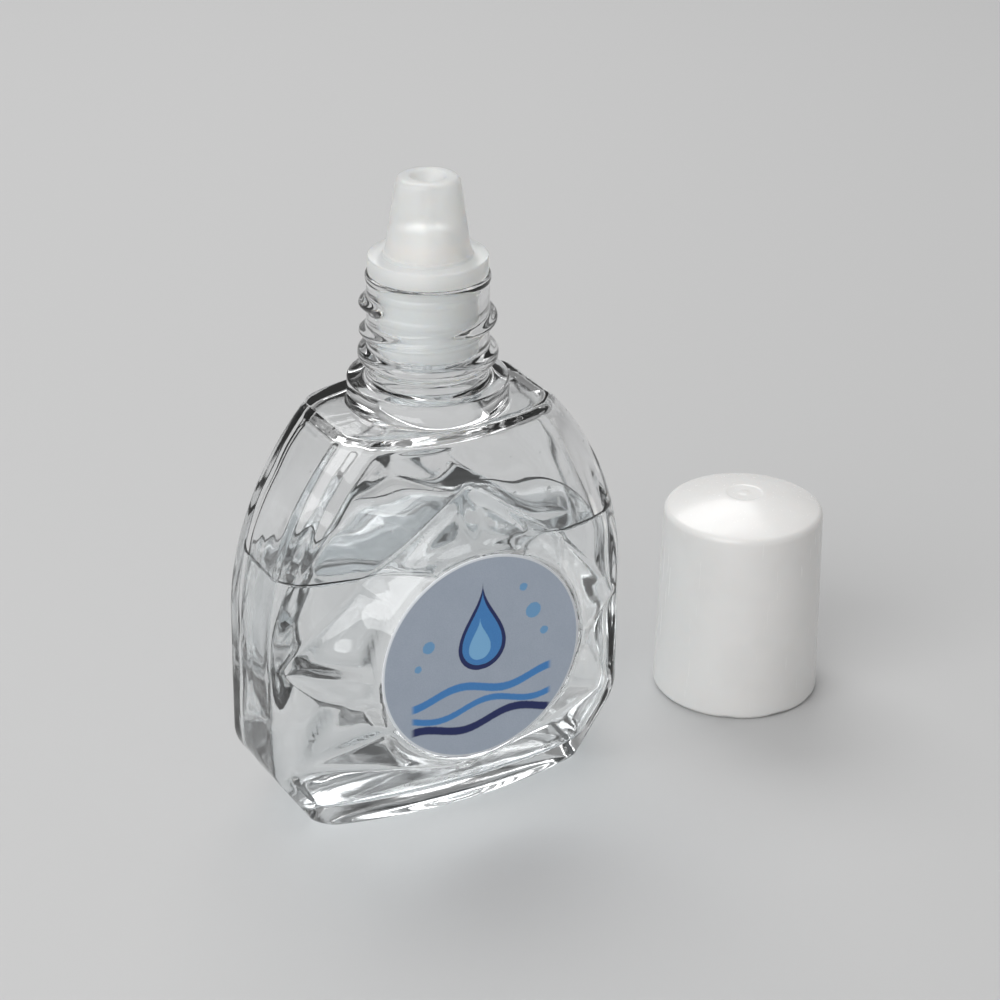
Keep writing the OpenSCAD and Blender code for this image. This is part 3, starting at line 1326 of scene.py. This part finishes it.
    def section_folds(self, heights: Array, skin: Skin) -> Array:
        """Choose for each face of the front the diagonal that lies closer to the form.

        Args:
            heights: height of each ring.
            skin: which skin it is.

        Returns:
            True for each face between two rings that folds on its other diagonal.
        """
        x, z = self.columns(heights, skin)
        depth = self.face_depth(x, z, skin)
        gaps: list[Array] = []
        for low, high in ((np.s_[:-1, :-1], np.s_[1:, 1:]), (np.s_[:-1, 1:], np.s_[1:, :-1])):
            form = self.face_depth((x[low] + x[high]) / 2, (z[low] + z[high]) / 2, skin)
            gaps.append(np.abs(form - (depth[low] + depth[high]) / 2))
        front = np.pad(gaps[1] < gaps[0], ((0, 0), (0, 1 + self.side_columns)))
        return np.concatenate([front, front], 1)

    @staticmethod
    def drawn_to(ring: Array, shrink: float, lift: float) -> Array:
        """A ring moved in towards its middle.

        Args:
            ring: the ring.
            shrink: distance in.
            lift: change in height.

        Returns:
            The new ring.
        """
        flat = ring[:, :2]
        length = np.linalg.norm(flat, axis=1, keepdims=True)
        moved = ring.copy()
        moved[:, :2] = flat * np.maximum(1 - shrink / length, 0)
        moved[:, 2] += lift
        return moved

    @staticmethod
    def neck_ring(radius: float, z: float, like: Array, spread: float) -> Array:
        """A round ring of the neck.

        Args:
            radius: its radius.
            z: its height.
            like: ring whose points' angles it starts from.
            spread: 0 keeps those angles and 1 spaces them evenly.

        Returns:
            The ring.
        """
        own = np.unwrap(np.arctan2(like[:, 1], like[:, 0]))
        even = own.mean() + np.linspace(0, -TAU, len(own), endpoint=False)
        even += (own - even).mean()
        angle = own * (1 - spread) + even * spread
        return np.stack([radius * np.cos(angle), radius * np.sin(angle), np.full(len(own), z)], 1)

    def outer_body(self) -> tuple[list[Array], dict[int, Array]]:
        """Outside of the body, from the base's middle up to the shoulder.

        Returns:
            The rings, and by ring number the folds of those that cross the faces.
        """
        foot = self.section_rings(np.array([0.0]), self.outside)[0]
        rings: list[Array] = []
        for share, lift in ((0.1, 0.55), (0.3, 0.55), (0.5, 0.52), (0.7, 0.45), (0.8, 0.3)):
            rings.append(foot * np.array([share, share, 1.0]) + np.array([0, 0, lift]))
        for shrink, lift in ((1.5, 0.06), (1.1, 0.0), (0.6, 0.0), (0.28, 0.05), (0.08, 0.2)):
            rings.append(self.drawn_to(foot, shrink, lift))
        heights = np.concatenate([
            np.arange(0.45, self.height - 0.4, self.row), [self.height - 0.25]])
        folds = numbered(self.section_folds(heights, self.outside), len(rings))
        rings += list(self.section_rings(heights, self.outside))
        brow = self.section_rings(np.array([self.height]), self.outside)[0]
        for shrink, lift in ((0.04, -0.13), (0.12, -0.04), (0.26, 0.0)):
            rings.append(self.drawn_to(brow, shrink, lift))
        return rings, folds

    def shoulder_and_neck(self, brow: Array) -> list[Array]:
        """Rings from the shoulder's flat top over the collar, bead and thread to the rim.

        Args:
            brow: last ring of the body.

        Returns:
            The rings.
        """
        rings: list[Array] = []
        seam = np.maximum(0, 1 - np.abs(brow[:, 1]) / 0.3) * self.shoulder_seam
        for t in (0.04, 0.35, 0.7, 0.94):
            around = self.neck_ring(7.62, self.height, brow, t)
            ring = brow * (1 - t) + around * t
            ring[:, 2] += seam
            rings.append(ring)
        collar_and_bead = [
            (7.55, 39.62, 0.0), (7.5, 39.85, 0.1), (7.5, 42.04, 0.22), (6.0, 42.04, 0.2),
            (5.62, 42.3, 0.3), (5.66, 43.35, 0.3), (6.48, 43.85, 0.5), (6.48, 44.75, 0.5),
            (5.64, 45.2, 0.35), (self.neck_radius, 45.5, 0.0)]
        rim = [
            (self.neck_radius, 51.1, 0.0), (5.64, 51.3, 0.15), (5.73, 51.5, 0.15),
            (5.73, 51.95, 0.2), (5.5, self.neck_top, 0.2), (4.85, self.neck_top, 0.15),
            (self.bore, 51.9, 0.0)]
        profile = rounded(collar_and_bead, 4, 0.6)
        profile += [(self.neck_radius, z) for z in np.arange(45.6, 51.05, 0.15)]
        profile += rounded(rim, 3, 0.6)
        for radius, z in profile:
            ring = self.neck_ring(radius, z, brow, 1.0)
            if 45.2 < z < 51.2 and radius > self.bore + 0.3:
                angles = np.degrees(np.arctan2(ring[:, 1], ring[:, 0])) % 360
                grow = 1 + self.thread.ridge(angles, ring[:, 2]) / radius
                ring[:, :2] *= grow[:, None]
            rings.append(ring)
        return rings

    def inside(self, brow: Array) -> tuple[list[Array], dict[int, Array]]:
        """Rings of the inside, from the bore down to the floor's middle.

        Args:
            brow: last ring of the outer body, whose angles the neck uses.

        Returns:
            The rings, and by ring number the folds of those that cross the faces.
        """
        bore_heights = (51.0, 49.0, 47.0, 45.0, 43.2, 42.0, 41.0, 40.3)
        rings = [self.neck_ring(self.bore, z, brow, 1.0) for z in bore_heights]
        ledge_z = 37.8
        ledge = self.section_rings(np.array([ledge_z]), self.cavity)[0]
        for share, z in (
                (0.03, 39.8), (0.09, 39.3), (0.18, 38.95), (0.3, 38.72), (0.45, 38.56),
                (0.62, 38.46), (0.78, 38.4), (0.9, 38.31), (0.965, 38.16), (0.992, 37.98)):
            around = self.neck_ring(self.bore, 0.0, brow, 1.0 - ease(share * 1.4))
            ring = around * (1 - share) + ledge * share
            ring[:, 2] = z
            rings.append(ring)
        heights = np.concatenate([
            np.arange(ledge_z, self.floor + 1.1, -self.inner_row), [self.floor + 0.7]])
        body = self.uneven(self.section_rings(heights, self.cavity))
        folds = numbered(self.section_folds(heights, self.cavity), len(rings))
        rings += list(body)
        last = body[-1]
        for shrink, lift in ((0.12, -0.3), (0.36, -0.52), (0.75, -0.66), (1.3, -0.7)):
            rings.append(self.drawn_to(last, shrink, lift))
        for share in (0.75, 0.5, 0.25, 0.08):
            lift = -0.7 + 0.25 * (1 - share)
            rings.append(last * np.array([share, share, 1.0]) + np.array([0, 0, lift]))
        return rings, folds

    def uneven(self, rings: Array) -> Array:
        """Give the inside the soft waves of a blown wall.

        Args:
            rings: rings of the inside.

        Returns:
            The rings, each point moved in or out.
        """
        middle = rings * np.array([0.0, 0.0, 1.0])
        out = rings - middle
        length = np.linalg.norm(out, axis=2, keepdims=True)
        shift = self.swell * waves(rings * np.array([1.0, 1.0, 1.4]), 7, self.swell_length)
        by_side = ease((np.abs(rings[..., 0]) - 11.0) / 5.0)
        upright = rings * np.array([1.0, 1.0, 0.16])
        shift += self.ripple * by_side * waves(upright, 11, self.ripple_length)
        return rings + out / np.maximum(length, 1e-6) * shift[..., None]

    def build(self) -> bpy.types.Object:
        """Make the bottle, dress it and let it ride.

        Returns:
            The bottle.
        """
        body, folds = self.outer_body()
        brow = body[-1]
        body += self.shoulder_and_neck(brow)
        inside, inner_folds = self.inside(brow)
        folds.update({len(body) + k: fold for k, fold in inner_folds.items()})
        rings = np.stack([*body, *inside])
        points, faces = tube(rings, turned_folds=folds)
        made = mesh_object("bottle_shell", points, faces, ClearPlastic().make())
        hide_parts("bottle")
        return seat(made, Body.BOTTLE)


@dataclass
class LiquidFill:
    """The liquid, which reaches a hair into the wall so that no air shows between them.

    Attributes:
        shell: the bottle that holds it.
        level: height of its surface.
        overlap: how far it reaches into the wall.
        climb: how far it climbs the wall.
        reach: distance over which the climb falls off.
        fall: how quickly it falls off.
    """

    shell: BottleShell
    level: float = 25.55
    overlap: float = 0.12
    climb: float = 0.7
    reach: float = 0.9
    fall: float = 1.6

    def rings_at(self, heights: Array, skin: Skin) -> Array:
        """Rings of the liquid's side at the given heights."""
        return self.shell.uneven(self.shell.section_rings(heights, skin))

    def build(self) -> bpy.types.Object:
        """Make the liquid, dress it and let it ride.

        Returns:
            The liquid.
        """
        low = self.shell.floor - self.overlap
        heights = np.arange(low + 0.6, self.level - 0.4, self.shell.inner_row)
        skin = replace(self.shell.cavity, inset=self.shell.wall - self.overlap)
        body = self.rings_at(heights, skin)
        first, sink = body[0], np.array([0, 0, -0.6])
        rings = [first * np.array([share, share, 1.0]) + sink for share in (0.1, 0.5, 0.85)]
        rings += [self.shell.drawn_to(first, 1.0, -0.6), self.shell.drawn_to(first, 0.35, -0.42)]
        folds = numbered(self.shell.section_folds(heights, skin), len(rings))
        rings += list(body)
        wet = self.level + self.climb * np.array([0.0, 0.5, 1.0])
        rings += list(self.rings_at(wet, skin))
        edge = rings[-1]
        for shrink in (0.1, 0.22, 0.4, 0.7, 1.1, 1.6, 2.3, 3.2, 4.2):
            drop = self.climb * (1 - math.exp(-shrink / self.reach * self.fall))
            rings.append(self.shell.drawn_to(edge, shrink, -drop))
        last = rings[-1]
        rings += [last * np.array([share, share, 1.0]) for share in (0.7, 0.4, 0.15)]
        points, faces = tube(np.stack(rings), turned_folds=folds)
        made = mesh_object("liquid_fill", points, faces, DropLiquid().make())
        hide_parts("eye_drop_liquid")
        return seat(made, Body.BOTTLE)


@dataclass
class WallDroplets:
    """Beads of liquid on the dry wall, and the fine bubbles low behind the front.

    Attributes:
        shell: the bottle that they cling to.
        seed: seed of their places and sizes.
        beads, bubbles: how many there are.
        bead_half: half width of the beads' field.
        bead_heights: lowest and highest place of a bead.
        bubble_x: middle of the bubbles' cluster, and its spread to the sides.
        bubble_z: lowest place of a bubble, and the cluster's spread upwards.
    """

    shell: BottleShell
    seed: int = 5
    beads: int = 26
    bubbles: int = 60
    bead_half: float = 13.5
    bead_heights: tuple[float, float] = (27.6, 36.5)
    bubble_x: tuple[float, float] = (-6.6, 1.5)
    bubble_z: tuple[float, float] = (4.0, 1.1)

    def spots(self) -> list[tuple[float, float, float]]:
        """Scatter the beads and then the bubbles.

        Returns:
            x, height and radius of each.
        """
        rng = np.random.default_rng(self.seed)
        out: list[tuple[float, float, float]] = []
        for _ in range(self.beads):
            x, z = rng.uniform(-self.bead_half, self.bead_half), rng.uniform(*self.bead_heights)
            out.append((x, z, 0.07 + 0.16 * rng.random() ** 3))
        low, spread = self.bubble_z
        for _ in range(self.bubbles):
            x, z = rng.normal(*self.bubble_x), abs(rng.normal(0, spread)) + low
            out.append((x, z, 0.035 + 0.035 * rng.random()))
        return out

    def build(self) -> bpy.types.Object:
        """Make the droplets, dress them and let them ride.

        Returns:
            All droplets, as one piece.
        """
        arc = np.linspace(0.15, math.pi - 0.15, 7)
        bead, bead_faces = tube(turned([(math.sin(a), math.cos(a)) for a in arc], 12))
        points, faces = [], []
        for x, z, radius in self.spots():
            wall = self.shell.face_depth(np.array([[x]]), np.array([[z]]), self.shell.cavity)
            centre = np.array([x, -(wall[0, 0] - 0.55 * radius), z])
            faces += [[i + len(points) * len(bead) for i in face] for face in bead_faces]
            points.append(centre + bead * radius * np.array([1.0, 0.7, 1.1]))
        finish = DropLiquid().make("droplets")
        made = mesh_object("wall_droplets", np.concatenate(points), faces, finish)
        return seat(made, Body.BOTTLE)


@dataclass
class Nozzle:
    """The press-in dropper nozzle.

    Attributes:
        rim_z: height of the neck's rim, which carries the flange.
        flange, flange_height: radius and thickness of the flange.
        tip_z, tip: height and radius of the tip.
        cone: radius of the cone at its foot.
        bore: radius of the neck's bore.
        plug: length of the plug in the neck.
        rib_depths: how far under the rim each sealing rib lies.
        sides: points round it.
    """

    rim_z: float = 52.1
    flange: float = 5.49
    flange_height: float = 1.64
    tip_z: float = 61.14
    tip: float = 2.85
    cone: float = 3.86
    bore: float = 4.65
    plug: float = 8.0
    rib_depths: tuple[float, ...] = (5.8, 3.7, 1.6)
    sides: int = 144

    def profile(self) -> list[tuple[float, float]]:
        """Run round the nozzle's wall, from the plug's foot up the outside and back inside.

        Returns:
            Radius and height of each point, as a closed loop.
        """
        low, deck = self.rim_z - self.plug, self.rim_z + self.flange_height
        skirt, crest = self.bore - 0.12, self.bore - 0.01
        ribs: list[tuple[float, float, float]] = []
        for down in self.rib_depths:
            z = self.rim_z - down
            ribs += [(skirt, z - 0.42, 0.12), (crest, z - 0.2, 0.15)]
            ribs += [(crest, z + 0.2, 0.15), (skirt, z + 0.42, 0.12)]
        outer = [
            (3.95, low, 0.0), (4.15, low, 0.15), (skirt, low + 0.9, 0.3), *ribs,
            (skirt, self.rim_z, 0.05), (self.flange, self.rim_z, 0.12), (self.flange, deck, 0.2),
            (self.cone + 0.28, deck + 0.02, 0.08), (self.cone + 0.22, deck + 0.34, 0.1),
            (self.cone + 0.06, deck + 0.4, 0.06), (self.tip, self.tip_z, 0.8)]
        inner = [
            (1.62, self.tip_z, 0.14), (1.38, self.tip_z - 0.35, 0.2),
            (0.42, self.tip_z - 1.5, 0.15), (0.4, self.tip_z - 4.2, 0.1),
            (1.7, self.tip_z - 4.75, 0.5), (2.75, deck + 0.5, 0.4),
            (3.72, self.rim_z - 0.4, 0.3), (3.75, low + 0.8, 0.1), (3.95, low, 0.0)]
        return rounded([*outer, *inner], 5, 0.8)[:-1]

    def build(self) -> bpy.types.Object:
        """Make the nozzle, dress it and let it ride.

        Returns:
            The nozzle.
        """
        points, faces = tube(turned(self.profile(), self.sides), closed_loop=True)
        made = mesh_object("nozzle_insert", points, faces, MilkyPlastic().make())
        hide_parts("dropper_nozzle")
        return seat(made, Body.BOTTLE)


@dataclass
class Label:
    """The round printed label on the front pad."""

    radius: float = 10.4
    thickness: float = 0.12
    pad_depth: float = 10.6
    centre_z: float = 17.5
    sides: int = 160

    def build(self) -> bpy.types.Object:
        """Make the label, dress it and let it ride.

        Returns:
            The label.
        """
        radius, thick = self.radius, self.thickness
        profile = [
            (0.4, 0.0), (radius * 0.5, 0.0), (radius - 0.06, 0.0), (radius, 0.02),
            (radius, thick - 0.03), (radius - 0.03, thick)]
        profile += [(r, thick) for r in np.linspace(radius - 0.3, 0.4, 14)]
        x, z, out = np.moveaxis(turned(profile, self.sides), 2, 0)
        points, faces = tube(np.stack([x, -(self.pad_depth + out), self.centre_z + z], 2))
        made = mesh_object("label_disc", points, faces, PrintedLabel().make())
        made.data.materials.append(LabelBack().make())
        front = -(self.pad_depth + thick) * MM
        for polygon in made.data.polygons:
            on_front = all(abs(made.data.vertices[i].co.y - front) < 1e-6 for i in polygon.vertices)
            polygon.material_index = 0 if on_front else 1
        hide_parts("front_label")
        return seat(made, Body.BOTTLE)


@dataclass
class Cap:
    """The screw cap, standing on its mouth.

    Attributes:
        place: x and y of its axis.
        foot, top: outer radius at the mouth and under the top's rounding.
        edge_z: height at which the dome starts.
        dome: rise of the dome.
        rounding, dome_deg: radius of the top edge and the angle that it turns through.
        hollow, mouth: radius of the threaded hollow and of its mouth.
        seal_z, roof_z: heights of the seal ring's foot and of the roof.
        nubs: angle and half width, in degrees, of each wave of the moulded lower edge.
        nub_height: height of those waves.
        sides: points round it.
        thread: the thread inside.
    """

    place: tuple[float, float] = (36.2, 0.0)
    foot: float = 8.48
    top: float = 8.04
    edge_z: float = 20.3
    dome: float = 1.5
    rounding: float = 0.85
    dome_deg: float = 66.0
    hollow: float = 6.6
    mouth: float = 6.73
    seal_z: float = 11.6
    roof_z: float = 19.07
    nubs: tuple[tuple[float, float], ...] = ((232, 9), (301, 6), (268, 14))
    nub_height: float = 0.1
    sides: int = 176
    thread: ThreadForm = field(default_factory=lambda: ThreadForm(
        start_deg=30.0, turn_deg=400.0, start_z=4.4, pitch=2.6, height=0.68, half_width=0.8))

    def profile(self) -> list[tuple[float, float]]:
        """Run from the roof's middle inside, round the mouth, to the top's middle.

        Returns:
            Radius and height of each point.
        """
        wall_top = self.edge_z - self.rounding * math.sin(math.radians(self.dome_deg))
        pin_and_roof = [
            (0.05, self.roof_z - 2.0, 0.0), (0.3, self.roof_z - 2.0, 0.1),
            (0.34, self.roof_z - 1.4, 0.2), (1.2, self.roof_z - 0.1, 0.1), (3.05, self.roof_z, 0.2)]
        seal_ring = [
            (3.3, self.roof_z - 1.0, 0.3), (4.31, self.seal_z + 1.0, 0.3), (4.31, self.seal_z, 0.1),
            (5.1, self.seal_z, 0.15), (5.1, self.roof_z - 1.0, 0.3), (6.3, self.roof_z - 1.0, 0.4)]
        hollow = [
            (self.hollow, self.seal_z + 1.0, 0.5), (self.hollow, 3.4, 0.2), (self.mouth, 3.1, 0.2),
            (self.mouth, 0.45, 0.15), (self.mouth + 0.3, 0.06, 0.1)]
        outside = [
            (7.4, 0.0, 0.1), (self.foot - 0.35, 0.0, 0.15), (self.foot, 0.35, 0.2),
            (self.top, wall_top, 0.0)]
        line = rounded([*pin_and_roof, *seal_ring, *hollow, *outside], 4, 0.32)
        r0, z0 = self.top - self.rounding, line[-1][1]
        for k in range(1, 11):
            a = math.radians(self.dome_deg * k / 10)
            line.append((r0 + self.rounding * math.cos(a), z0 + self.rounding * math.sin(a)))
        edge = line[-1][0]
        for r in np.linspace(edge, 1.95, 14)[1:]:
            line.append((r, self.edge_z + self.dome * (1 - (r / edge) ** 2)))
        crown = line[-1][1]
        gate_mark = (
            (1.85, 0.005), (1.76, 0.03), (1.6, 0.035), (1.1, 0.02), (0.95, 0.03), (0.55, 0.03),
            (0.42, 0.01), (0.3, 0.0), (0.05, 0.0))
        return line + [(r, crown - down) for r, down in gate_mark]

    def build(self) -> bpy.types.Object:
        """Make the cap, dress it and let it ride.

        Returns:
            The cap.
        """
        rings = turned(self.profile(), self.sides)
        radius = np.linalg.norm(rings[..., :2], axis=2)
        angle = np.degrees(np.arctan2(rings[..., 1], rings[..., 0])) % 360
        z = rings[..., 2]
        wall = (np.abs(radius - self.hollow) < 0.35) & (z > 3.2) & (z < self.seal_z + 1.2)
        shrink = np.where(wall, self.thread.ridge(angle, z), 0) / np.maximum(radius, 0.1)
        rings[..., :2] *= (1 - shrink)[..., None]
        rings[..., 2] += self.lifted(angle, radius, z)
        rings[..., 0] += self.place[0]
        rings[..., 1] += self.place[1]
        points, faces = tube(rings)
        made = mesh_object("cap_shell", points, faces, WhitePlastic().make())
        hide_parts("screw_cap")
        return seat(made, Body.CAP)

    def lifted(self, angle: Array, radius: Array, z: Array) -> Array:
        """Small waves of the moulded lower edge.

        Args:
            angle: angle of each point, in degrees.
            radius: radius of each point.
            z: height of each point.

        Returns:
            How far each point of the edge is lifted.
        """
        edge = (z < 0.4) & (radius > self.foot - 0.5)
        lift = sum(
            ease(1 - np.abs((angle - at + 180) % 360 - 180) / wide) for at, wide in self.nubs)
        return np.where(edge, self.nub_height * lift, 0)


def seat(piece: bpy.types.Object, body: Body) -> bpy.types.Object:
    """Let a piece ride on its body.

    Args:
        piece: the piece.
        body: the body that carries it.

    Returns:
        The piece.
    """
    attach(piece, body.value)
    return piece


@dataclass(frozen=True)
class Lamp:
    """A soft lamp that looks at the bottle.

    Attributes:
        name: its name.
        place: where it hangs, in millimetres.
        size: its width and height, in millimetres.
        watts: its power.
        aim: the point it looks at, in millimetres.
    """

    name: str
    place: tuple[float, float, float]
    size: tuple[float, float]
    watts: float
    aim: tuple[float, float, float] = (8.0, 0.0, 25.0)

    def hang(self) -> None:
        """Make the lamp and add it to the scene."""
        data = bpy.data.lights.new(self.name, "AREA")
        data.shape = "RECTANGLE"
        data.size, data.size_y = self.size[0] * MM, self.size[1] * MM
        data.energy = self.watts
        made = bpy.data.objects.new(self.name, data)
        spot = Vector(self.place) * MM
        turn = (Vector(self.aim) * MM - spot).to_track_quat("-Z", "Y")
        made.matrix_world = Matrix.Translation(spot) @ turn.to_matrix().to_4x4()
        bpy.context.scene.collection.objects.link(made)


@dataclass
class Studio:
    """Floor, lamps, world and camera.

    Attributes:
        azimuth, elevation, roll: the camera's angles, in degrees.
        focal_px, frame_px: focal length and frame width, in pixels of the photograph.
        distance: distance of the camera from its target.
        side, target_z: place of the target, sideways and up.
        floor_half: half width of the floor.
        bounces: how often light may pass on in the clear pieces.
        light_stops: grey of the light over the world's height.
        backdrop_stops: grey of what is seen over the world's height.
        lamps: the lamps.
    """

    azimuth: float = -29.5986
    elevation: float = 25.9403
    roll: float = 0.735
    focal_px: float = 2700.0
    frame_px: float = 1000.0
    distance: float = 253.7
    side: float = 6.7615
    target_z: float = 29.177
    floor_half: float = 1500.0
    bounces: int = 24
    light_stops: tuple[tuple[float, float], ...] = (
        (0.0, 0.22), (0.2, 0.24), (0.55, 0.32), (1.0, 0.62))
    backdrop_stops: tuple[tuple[float, float], ...] = (
        (0.0, 0.5), (0.12, 0.42), (0.4, 0.22), (0.65, 0.3), (1.0, 0.66))
    lamps: tuple[Lamp, ...] = (
        Lamp("key", (-365.0, -187.0, 320.0), (460.0, 360.0), 1.58),
        Lamp("back", (90.0, 330.0, 440.0), (420.0, 300.0), 1.25))

    def camera(self) -> None:
        """Put the camera where the photograph's was."""
        a, e, r = (math.radians(v) for v in (self.azimuth, self.elevation, self.roll))
        back = Vector((math.sin(a) * math.cos(e), -math.cos(a) * math.cos(e), math.sin(e)))
        level = Vector((math.cos(a), math.sin(a), 0.0))
        up = back.cross(level)
        right = level * math.cos(r) + up * math.sin(r)
        up = up * math.cos(r) - level * math.sin(r)
        target = level * self.side + Vector((0, 0, self.target_z))
        data = bpy.data.cameras.new("camera")
        data.sensor_width = 36.0
        data.lens = self.focal_px / self.frame_px * data.sensor_width
        data.clip_start, data.clip_end = 0.01, 20.0
        made = bpy.data.objects.new("camera", data)
        made.matrix_world = Matrix.Translation((target + back * self.distance) * MM) @ Matrix(
            (right, up, back)).transposed().to_4x4()
        bpy.context.scene.collection.objects.link(made)
        bpy.context.scene.camera = made

    def floor(self) -> None:
        """Lay the floor."""
        half = self.floor_half
        ground = np.array([(-half, -half, 0), (half, -half, 0), (half, half, 0), (-half, half, 0)])
        made = mesh_object("floor", ground, [[0, 1, 2, 3]], PaleFloor().make())

    def world(self) -> None:
        """Soft light from all round, and the pale backdrop that the clear pieces also show."""
        s = Shade(bpy.data.worlds.new("studio"))
        way = s.node("ShaderNodeTexCoord", out="Generated")
        height = s.node("ShaderNodeSeparateXYZ", None, {0: way}, out=2)
        light, backdrop = (
            s.node("ShaderNodeValToRGB", {"stops": [(at, (grey,) * 3) for at, grey in stops]},
                   {"Fac": height})
            for stops in (self.light_stops, self.backdrop_stops))
        shown = s.mix(s.seen(), light, backdrop)
        bpy.context.scene.world = s.surface(
            s.node("ShaderNodeBackground", None, {"Color": shown}))

    def build(self) -> None:
        """Set up the whole studio."""
        self.camera()
        self.floor()
        self.world()
        for lamp in self.lamps:
            lamp.hang()
        scene = bpy.context.scene
        scene.view_settings.view_transform = "Standard"
        scene.cycles.max_bounces = self.bounces
        scene.cycles.transmission_bounces = self.bounces
        scene.cycles.transparent_max_bounces = self.bounces


def main() -> None:
    """Build the bottle, the cap and the studio."""
    logging.basicConfig(level=logging.INFO, format="%(name)s: %(message)s")
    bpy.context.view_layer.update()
    shell = BottleShell()
    for part in (shell, LiquidFill(shell), WallDroplets(shell), Nozzle(), Label(), Cap()):
        made = part.build()
    Studio().build()
    bpy.context.view_layer.update()


if __name__ == "__main__":
    main()
